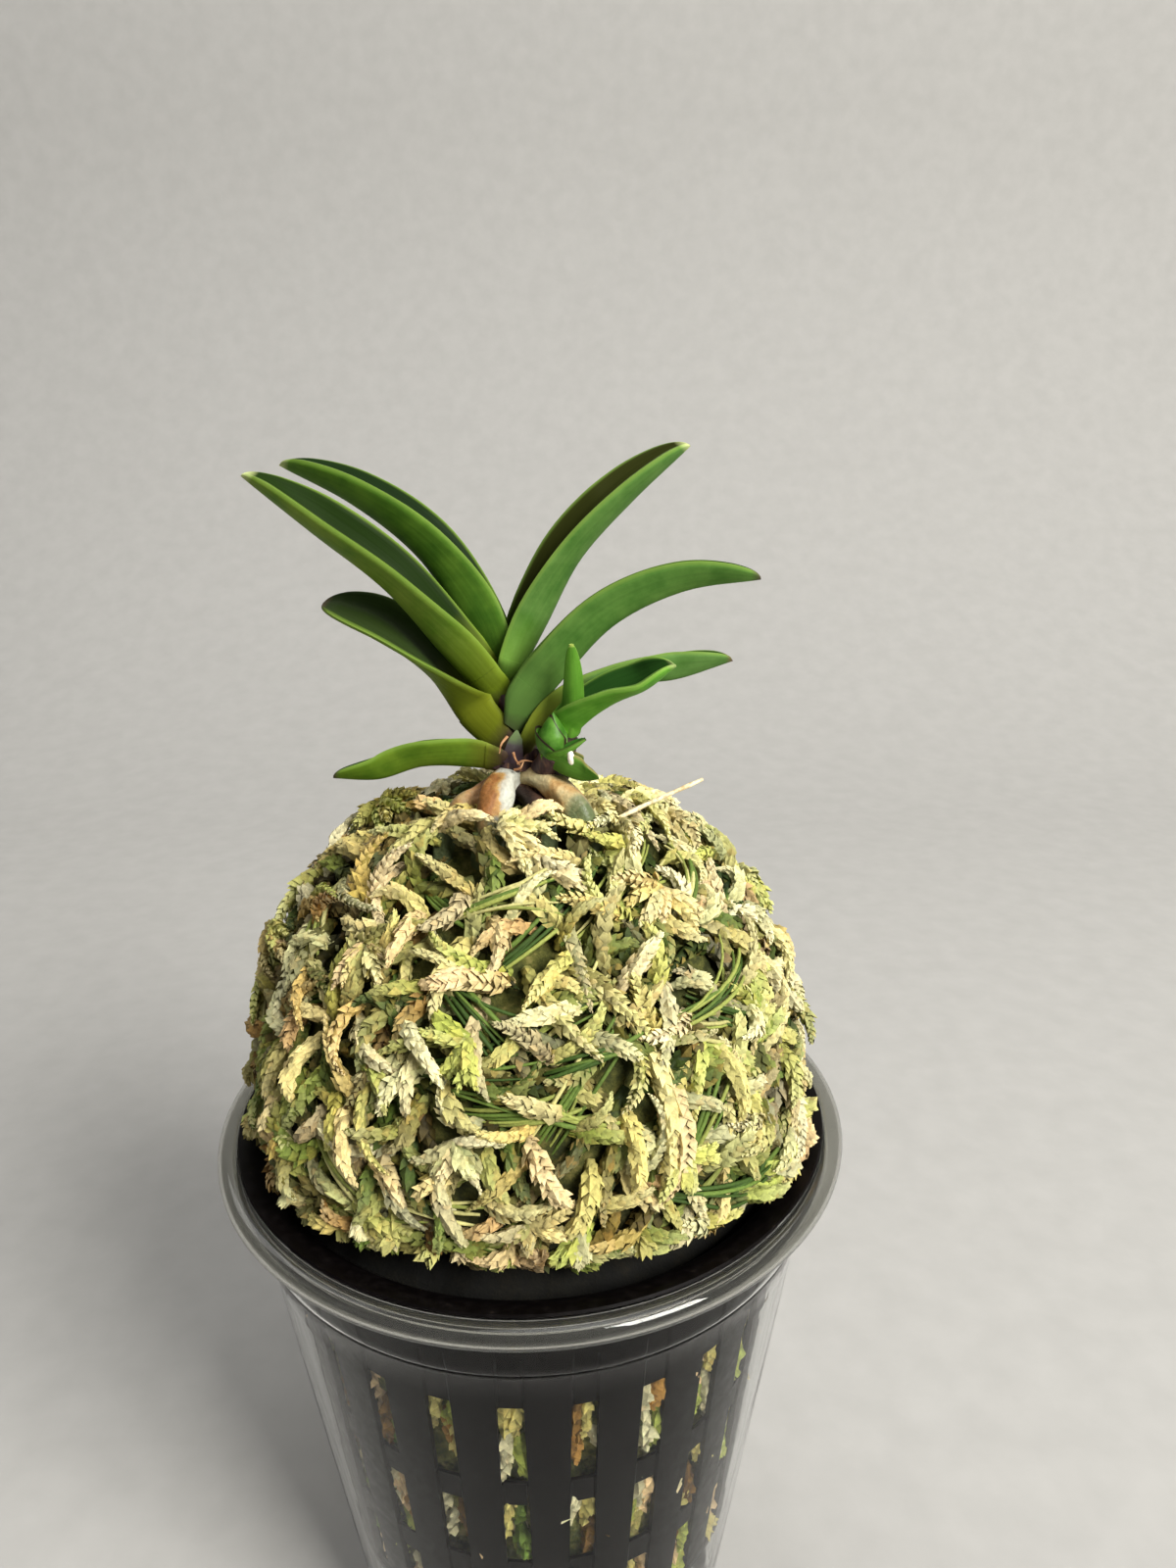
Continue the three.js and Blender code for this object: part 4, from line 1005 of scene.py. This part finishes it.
# Dry fibres of rotted sheaths curl off the stem's front.
FIBRE_RINGS, FIBRE_SIDES, FIBRE_RADIUS = 10, 8, 0.17
FIBRES = [
    [[-1.6, -6.2, 155.2], [-2.4, -6.7, 154.3], [-2.7, -6.6, 153.0]],
    [[-0.9, -6.5, 153.1], [-0.6, -6.9, 152.3], [0.0, -6.9, 151.4]],
    [[-0.4, -6.8, 151.7], [0.6, -7.1, 152.2], [1.6, -7.0, 152.0]],
    [[-0.8, -6.8, 150.8], [0.0, -7.2, 151.2], [0.5, -7.1, 152.2]],
]
fibre_paths = np.stack([smooth_path(knots, np.linspace(0, 1, FIBRE_RINGS)) for knots in FIBRES])
fibre_radii = np.tile(FIBRE_RADIUS * np.linspace(1.1, 0.4, FIBRE_RINGS), (len(FIBRES), 1))
points, faces = tubes(fibre_paths, fibre_radii, FIBRE_SIDES)
fibres = piece("sheath_fibres", points, faces)


def speckled(name, made_of, size, detail, stops):
    """A material coloured by one noise, whose features are size millimetres across."""
    material, tree, shader, place = finish_of(name, made_of)
    noise = add(tree, "TexNoise", {"Vector": place, "Scale": per_mm(size), "Detail": detail})
    feed(shader, {"Base Color": add(tree, "ValToRGB", {"Fac": noise}, stops=stops)})
    return material


# Dead sheath fibre: dry and matt, orange-tan.
dry_fibre = speckled("dry_sheath_fibre", {"Roughness": 0.8}, 0.8, 3.0,
                     [(0.35, "#9c6a42"), (0.65, "#cfa074")])
fibres.data.materials.append(dry_fibre)
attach(fibres, "root")

# ---------------------------------------------------------------------------------------------
# Offshoot: a young plant from the stem's foot, with a short stem and a bud wrapped in green
# bracts whose margins have dried to thin brown lines.
OFFSHOOT_PATH = [[3, -5, 144], [4.2, -5.6, 148.5], [5.4, -5.8, 152], [6, -6, 155]]
offshoot_column = rod("offshoot_column", OFFSHOOT_PATH, rings=18, sides=24,
                      radius=lambda share: 2.0 - 0.5 * share)
# The bud's foot is old and dark, and the bud stands on it.
BUD_FOOT_PATH = [[2.2, -4.0, 149.8], [3.3, -6.5, 151.3], [4.3, -8.0, 153.6]]
bud_foot = rod("bud_foot", BUD_FOOT_PATH, rings=12, sides=24,
               radius=lambda share: 1.5 + 0.15 * share)
for made in (offshoot_column, bud_foot):
    made.data.materials.append(old_stem)
    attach(made, "root")
    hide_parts("offshoot_stem")

BUD_AXIS, BUD_RADII = [[4.3, -8.0, 153.0], [4.4, -8.1, 158.9]], [1.2, 1.75, 1.8, 1.05, 0.08]
bud = rod("bud", BUD_AXIS, rings=24, sides=32,
          radius=lambda share: through(FIVE_PLACES, BUD_RADII, share))
DRY_EDGE = 0.8


def wrap(name, axis, radii, turns, margin, thick=0.3):
    """A thin closed scale wrapped round an axis. radii: its radius at five even heights.
    turns: the angles it spans, in degrees. margin: height of its upper edge across that span."""
    rows, across = 15, 33
    foot, top = np.array(axis, float)
    side, up = np.linspace(0, 1, across), np.linspace(0, 1, rows)[:, None]
    angle = np.radians(turns[0] + (turns[1] - turns[0]) * side)
    edge_height = through(np.linspace(0, 1, len(margin)), margin, side)
    height = up * edge_height
    radius = np.interp(height, FIVE_PLACES, radii)
    outside = foot + height[..., None] * (top - foot) + about_z(radius, angle, 0.0)
    facing = np.cross(np.gradient(outside, axis=1), np.gradient(outside, axis=0))
    thin = thick * np.clip(1.15 - np.maximum(up**4, np.abs(2 * side - 1) ** 6), 0.25, 1)
    inside = outside - unit(facing) * thin[..., None]
    skin = grid_faces(rows, across, around=False)
    number = np.arange(rows * across).reshape(rows, across)
    loop = np.concatenate([number[0], number[1:, -1], number[-1, -2::-1], number[-2:0:-1, 0]])
    after = np.roll(loop, -1)
    rim = np.stack([after, loop, loop + number.size, after + number.size], axis=1)
    made = piece(name, np.concatenate([outside.reshape(-1, 3), inside.reshape(-1, 3)]),
                 [np.concatenate([skin, skin[:, ::-1] + number.size, rim])], sharp=70)
    from_top = (edge_height - height) * np.linalg.norm(top - foot)
    from_side = np.ptp(angle) * np.mean(radii) * np.minimum(side, 1 - side)
    near_edge = np.clip(1 - np.minimum(from_top, from_side) / DRY_EDGE, 0, 1)
    mark(made, "edge", np.stack([near_edge, near_edge]))
    return made


# Live bract skin: bright green and waxy, paler along the ribs.
bract_skin, tree, shader, place = finish_of(
    "green_bract_skin", {"IOR": 1.42, "Specular IOR Level": 0.2})
rib = add(tree, "TexNoise", {"Vector": place, "Scale": per_mm(1.6), "Detail": 4.0})
rib_colour = add(tree, "ValToRGB", {"Fac": rib}, stops=[(0.35, "#33601a"), (0.7, "#5c8c34")])
rib_shine = add(tree, "MapRange", {"Value": rib, "To Min": 0.3, "To Max": 0.5})
dried = add(tree, "Attribute", attribute_name="edge").outputs["Fac"]
dry_line = add(tree, "MapRange", {"Value": dried, "From Min": 0.5, "From Max": 0.68})
bract_colour = add(
    tree, "Mix", {MIX_FACTOR: dry_line, MIX_A: rib_colour, MIX_B: colour("#2c211a")},
    data_type="RGBA")
feed(shader, {"Base Color": bract_colour, "Roughness": rib_shine})
# The bud's two outer bracts: one laps over its right side, the lower one holds it like a cup.
bud_inner_bract = wrap("bud_inner_bract", BUD_AXIS, [1.35, 1.93, 1.98, 1.2, 0.22],
                       (-250, -30), [0.8, 0.93, 0.97, 0.9, 0.45])
bud_outer_bract = wrap("bud_outer_bract", BUD_AXIS, [1.45, 2.15, 2.3, 2.3, 2.3],
                       (-255, -60), [0.5, 0.66, 0.6, 0.4, 0.12])
for made in (bud, bud_inner_bract, bud_outer_bract):
    made.data.materials.append(bract_skin)
    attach(made, "root")
    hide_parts("offshoot_stem")

# The lower bract's free tip points right, folded like a boat's bow, and ends dry and dark.
BRACT_TIP = dict(zip(LEAF_TERMS, [
    [[3.6, -8.7, 152.8], [5.0, -9.5, 153.3], [6.6, -9.7, 154.1], [8.6, -9.2, 155.6]],
    1.35, [0.8, 1.0, 0.9, 0.7, 0.4], [0.8, 1.1, 1.0, 0.8, 0.4], 0, 5,
    "#41701f", "#6a9a3c", "#2f5a1c", "#3a2a20", "#1c1410", "#6f8a3a", 0.1, 0]))
bract_tip = folded_leaf("bud_bract_tip", BRACT_TIP, start=0.0, end=1.0, stations=26)
bract_tip.data.materials.append(leaf_finish("dry_edged_bract", BRACT_TIP))
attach(bract_tip, "root")
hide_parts("offshoot_stem")

# A curled white flake of dead bract hangs below the bud.
flake = wrap("dead_bract_flake", [[6.8, -9.9, 152.3], [6.5, -10.0, 154.5]],
             [0.2, 0.5, 0.55, 0.45, 0.3], (-160, -20), [0.9, 1.0, 0.95], thick=0.14)
# Dead bract: papery white, matt, with faint fibres.
flake.data.materials.append(speckled("dead_bract_paper", {"Roughness": 0.8}, 0.5, 3.0,
                                     [(0.35, "#e2d8c0"), (0.6, "#f6f2e8")]))
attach(flake, "root")

# Old sheath ends stand in ragged collars round the stem's foot, and one grey-green tongue.
STEM_AXIS = [[-0.8, -0.6, 150.2], [-0.8, -0.6, 158.2]]
COLLARS = [
    # name, radii, turns, margin
    ["old_collar_left", [4.9, 4.9, 4.8, 4.6, 4.4], (-128, -88), [0.1, 0.3, 0.36, 0.28, 0.1]],
    ["old_collar_front", [5.2, 5.2, 5.1, 5.0, 4.9], (-108, -58), [0.1, 0.22, 0.16, 0.3, 0.12]],
    ["old_collar_right", [4.7, 4.8, 4.7, 4.6, 4.5], (-76, 0), [0.12, 0.34, 0.24, 0.26, 0.08]],
]
for name, radii, turns, margin in COLLARS:
    collar = wrap(name, STEM_AXIS, radii, turns, margin, thick=0.4)
    collar.data.materials.append(old_stem)
    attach(collar, "root")
    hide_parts("stem")

# One sheath tongue is still alive at its top: grey-green above, purple-brown at its foot.
tongue = wrap("grey_tongue", [[-0.6, -0.6, 151.4], [-0.6, -0.6, 156.6]],
              [5.25, 5.2, 5.1, 4.9, 4.7], (-109, -80), [0.2, 0.55, 0.74, 0.84, 0.6], thick=0.4)
tongue_skin, tree, shader, place = finish_of("fading_sheath_tongue",
                                             {"Roughness": 0.55, "IOR": 1.42})
rise = add(tree, "SeparateXYZ", {"Vector": place}).outputs["Z"]
cloud = add(tree, "TexNoise", {"Vector": place, "Scale": per_mm(1.2), "Detail": 4.0})
wander = add(tree, "Math", {0: cloud, 1: 2.6 * MM}, operation="MULTIPLY")
level = add(tree, "Math", {0: rise, 1: wander}, operation="ADD")
up_tongue = add(tree, "MapRange", {"Value": level, "From Min": 153.4 * MM, "From Max": 157.4 * MM})
tongue_colour = add(tree, "ValToRGB", {"Fac": up_tongue},
                    stops=[(0.15, "#3a2a32"), (0.4, "#4e4a4a"), (0.7, "#61754a")])
feed(shader, {"Base Color": tongue_colour})
tongue.data.materials.append(tongue_skin)
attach(tongue, "root")
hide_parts("stem")

# ---------------------------------------------------------------------------------------------
# Roots: thick aerial roots in a spongy velamen skin, silver-white where dry, green-grey where
# damp and tan where old. They arch over the moss and go down into it.
ROOT_RINGS, ROOT_SIDES = 44, 36
ROOTS = {
    # name: path, radius, how much its right side is painted lighter, colours from worn to dry
    "root_front": [
        [[-1.0, -2.8, 147.9], [-2.4, -5.8, 148.8], [-3.0, -8.6, 147.9], [-3.6, -10.2, 146.0],
         [-4.1, -11.2, 143.0], [-4.3, -11.4, 138]], 2.15, 1.0,
        [(0.36, "#86582c"), (0.46, "#ad874e"), (0.52, "#a9a596"), (0.64, "#bcbdb0")]],
    "root_right": [
        [[0.6, -3.0, 148.4], [2.4, -5.4, 149.4], [4.5, -7.4, 148.5], [6.3, -8.8, 147.2],
         [7.6, -9.9, 145.6], [8.3, -10.7, 143.2], [8.6, -11.1, 138]], 2.0, 0.0,
        [(0.3, "#8a6234"), (0.42, "#b08c58"), (0.52, "#bfa97a"), (0.66, "#c6ba90")]],
    # Its silver-blue right side is a painted highlight.
    "root_small": [
        [[-0.2, -3.4, 147.2], [0.6, -6.4, 147.0], [1.9, -8.5, 146.5], [3.1, -10, 144.8],
         [3.5, -10.8, 139.5]], 1.35, 1.0,
        [(0.34, "#20140f"), (0.5, "#4c3428"), (0.6, "#5f5040"), (0.68, "#b0bbc2")]],
    "root_left": [
        [[-2.6, -3, 147.2], [-5.6, -5, 146.7], [-7.8, -6.7, 145.7], [-9.4, -8.4, 144],
         [-10.4, -9.6, 138.5]], 1.5, 0.0,
        [(0.34, "#6b4726"), (0.5, "#a07446"), (0.64, "#b98f60"), (0.76, "#8a8a60")]],
}
for name, (knots, radius, right_side_lightening, stops) in ROOTS.items():
    share = np.linspace(0, 1, ROOT_RINGS)
    path = smooth_path(knots, share)
    full = radius * (0.84 + 0.16 * np.sin(math.pi * share) + 0.05 * np.sin(17 * share))
    points, faces = tubes(path[None], full[None], ROOT_SIDES)
    # Velamen shrinks in long dents and small swellings.
    angle, down = circle(ROOT_SIDES), share[:, None]
    dents = (0.10 * np.sin(3 * angle + 9 * down + chance.uniform(0, 6))
             + 0.05 * np.sin(5 * angle - 15 * down + chance.uniform(0, 6))
             + 0.06 * np.sin(22 * down + chance.uniform(0, 6)))
    offset = points.reshape(ROOT_RINGS, ROOT_SIDES, 3) - path[:, None]
    offset = offset * (1 + 0.8 * dents[..., None])
    rooted = piece(f"{name}_velamen", (path[:, None] + offset).reshape(-1, 3), faces, sharp=60)
    # side is high on the face turned right, towards the key light, damp is high where the root
    # enters the moss.
    mark(rooted, "side", 0.22 * right_side_lightening * offset[..., 0] / radius)
    mark(rooted, "damp", np.broadcast_to(1.05 * down, dents.shape))
    # Velamen: a dry spongy skin, matt and papery, blotched where it has worn or taken up water.
    velamen, tree, shader, place = finish_of(f"velamen_of_{name}", {"IOR": 1.4})
    blotch = add(tree, "TexNoise",
                 {"Vector": place, "Scale": per_mm(5.0), "Detail": 5.0, "Distortion": 0.6})
    # The side turned to the key light is painted lighter: dry white velamen with painted light on
    # the front root, a painted silver highlight on the small root. The other side is worn tan.
    lit_side_at, damp_at = [add(tree, "Attribute", attribute_name=mask).outputs["Fac"]
                        for mask in ("side", "damp")]
    leaning = add(tree, "Math", {0: lit_side_at, 1: blotch}, operation="ADD")
    bare = add(tree, "ValToRGB", {"Fac": leaning}, stops=stops)
    damp_noise = add(tree, "Math", {0: damp_at, 1: blotch}, operation="ADD")
    wet = add(tree, "MapRange", {"Value": damp_noise, "From Min": 0.94, "From Max": 1.24})
    skin = add(tree, "Mix", {MIX_FACTOR: wet, MIX_A: bare, MIX_B: colour("#5d6846")},
               data_type="RGBA")
    pore = add(tree, "TexNoise", {"Vector": place, "Scale": per_mm(0.5), "Detail": 4.0})
    pored = add(tree, "Mix", {MIX_FACTOR: 0.4, MIX_A: skin, MIX_B: pore},
                data_type="RGBA", blend_type="OVERLAY")
    damp = add(tree, "MapRange", {"Value": blotch, "From Min": 0.4, "From Max": 0.7,
                                  "To Min": 0.62, "To Max": 0.38})
    pore_bump = add(tree, "Bump", {"Height": pore, "Strength": 0.8, "Distance": 0.2 * MM})
    feed(shader, {"Base Color": pored, "Roughness": damp, "Normal": pore_bump})
    rooted.data.materials.append(velamen)
    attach(rooted, "root")
    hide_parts(name)

# ---------------------------------------------------------------------------------------------
# Straw: a dry grass stalk, thin and stiff, with faint joints along it. It is stuck in the moss
# beside the roots and leans out to the right.
STRAW_PATH = [[7, -9.2, 141.8], [15.6, -6.4, 145.3], [24, -4, 148.3]]
stalk = rod("dry_stalk", STRAW_PATH, rings=22, sides=10,
            radius=lambda share: 0.36 - 0.08 * share + 0.04 * np.sin(share * 30))
# Dry grass: pale cream, slightly glossy, with fine lines along it.
stalk.data.materials.append(speckled("dry_grass_straw", {"Roughness": 0.55}, 0.6, 3.0,
                                     [(0.35, "#c9ae7c"), (0.6, "#efe2bf")]))
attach(stalk, "root")
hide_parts("straw")

# ---------------------------------------------------------------------------------------------
# Studio: a wide pale sheet that sweeps from the floor up to a far wall. A broad soft key light
# stands at the right, front and top, with weak ones at the left, overhead and behind, in dim
# air that is brighter overhead.
SHEET_BACK, SHEET_CURVE, SHEET_TOP, SHEET_HALF_WIDTH = 0.35, 0.35, 2.4, 3.0  # metres
sweep = [
    [-1.2, 0.0], [SHEET_BACK, 0.0],
    *[[SHEET_BACK + SHEET_CURVE * math.sin(t), SHEET_CURVE * (1 - math.cos(t))]
      for t in np.linspace(0.1, math.pi / 2, 16)],
    [SHEET_BACK + SHEET_CURVE, SHEET_TOP],
]
sides = (-SHEET_HALF_WIDTH, SHEET_HALF_WIDTH)
sweep_points = np.array([[x, y, z] for y, z in sweep for x in sides]) / MM
backdrop = piece("studio_sweep", sweep_points, [grid_faces(len(sweep), 2, around=False)], 180)
# Painted sheet: matt and pale grey all over.
backdrop.data.materials.append(speckled("matt_backdrop_paint", {"Roughness": 0.9}, 9, 4.0,
                                        [(0.3, "#a8a7a4"), (0.7, "#aeadaa")]))

LIGHTS = [
    # name, place in metres, size in metres, watts, colour
    ["key", (0.78, -0.8, 0.92), 0.6, 34.0, "#fffcf6"],
    ["fill", (-0.9, -1.0, 0.4), 1.0, 0.7, "#f4f6ff"],
    ["top", (0.2, -0.1, 1.3), 0.7, 4.0, "#ffffff"],
    ["back", (-0.45, 0.5, 0.9), 0.7, 2.5, "#ffffff"],
]
AIM = Vector((0.0, 0.0, 0.12))
for name, place, size, watts, shade in LIGHTS:
    data = bpy.data.lights.new(name, "AREA")
    data.size, data.energy, data.color = size, watts, colour(shade)[:3]
    light = bpy.data.objects.new(name, data)
    bpy.context.scene.collection.objects.link(light)
    light.location = place
    light.rotation_euler = (AIM - Vector(place)).to_track_quat("-Z", "Y").to_euler()
world = bpy.data.worlds.new("dim_air")
world.use_nodes = True
tree = world.node_tree
heading = add(tree, "TexCoord").outputs["Generated"]
upward = add(tree, "SeparateXYZ", {"Vector": heading}).outputs["Z"]
overhead = add(tree, "MapRange", {"Value": upward, "From Min": 0.1, "From Max": 0.8,
                                  "To Min": 0.05, "To Max": 0.27})
feed(tree.nodes["Background"], {"Color": colour("#e9e7e4"), "Strength": overhead})
bpy.context.scene.world = world
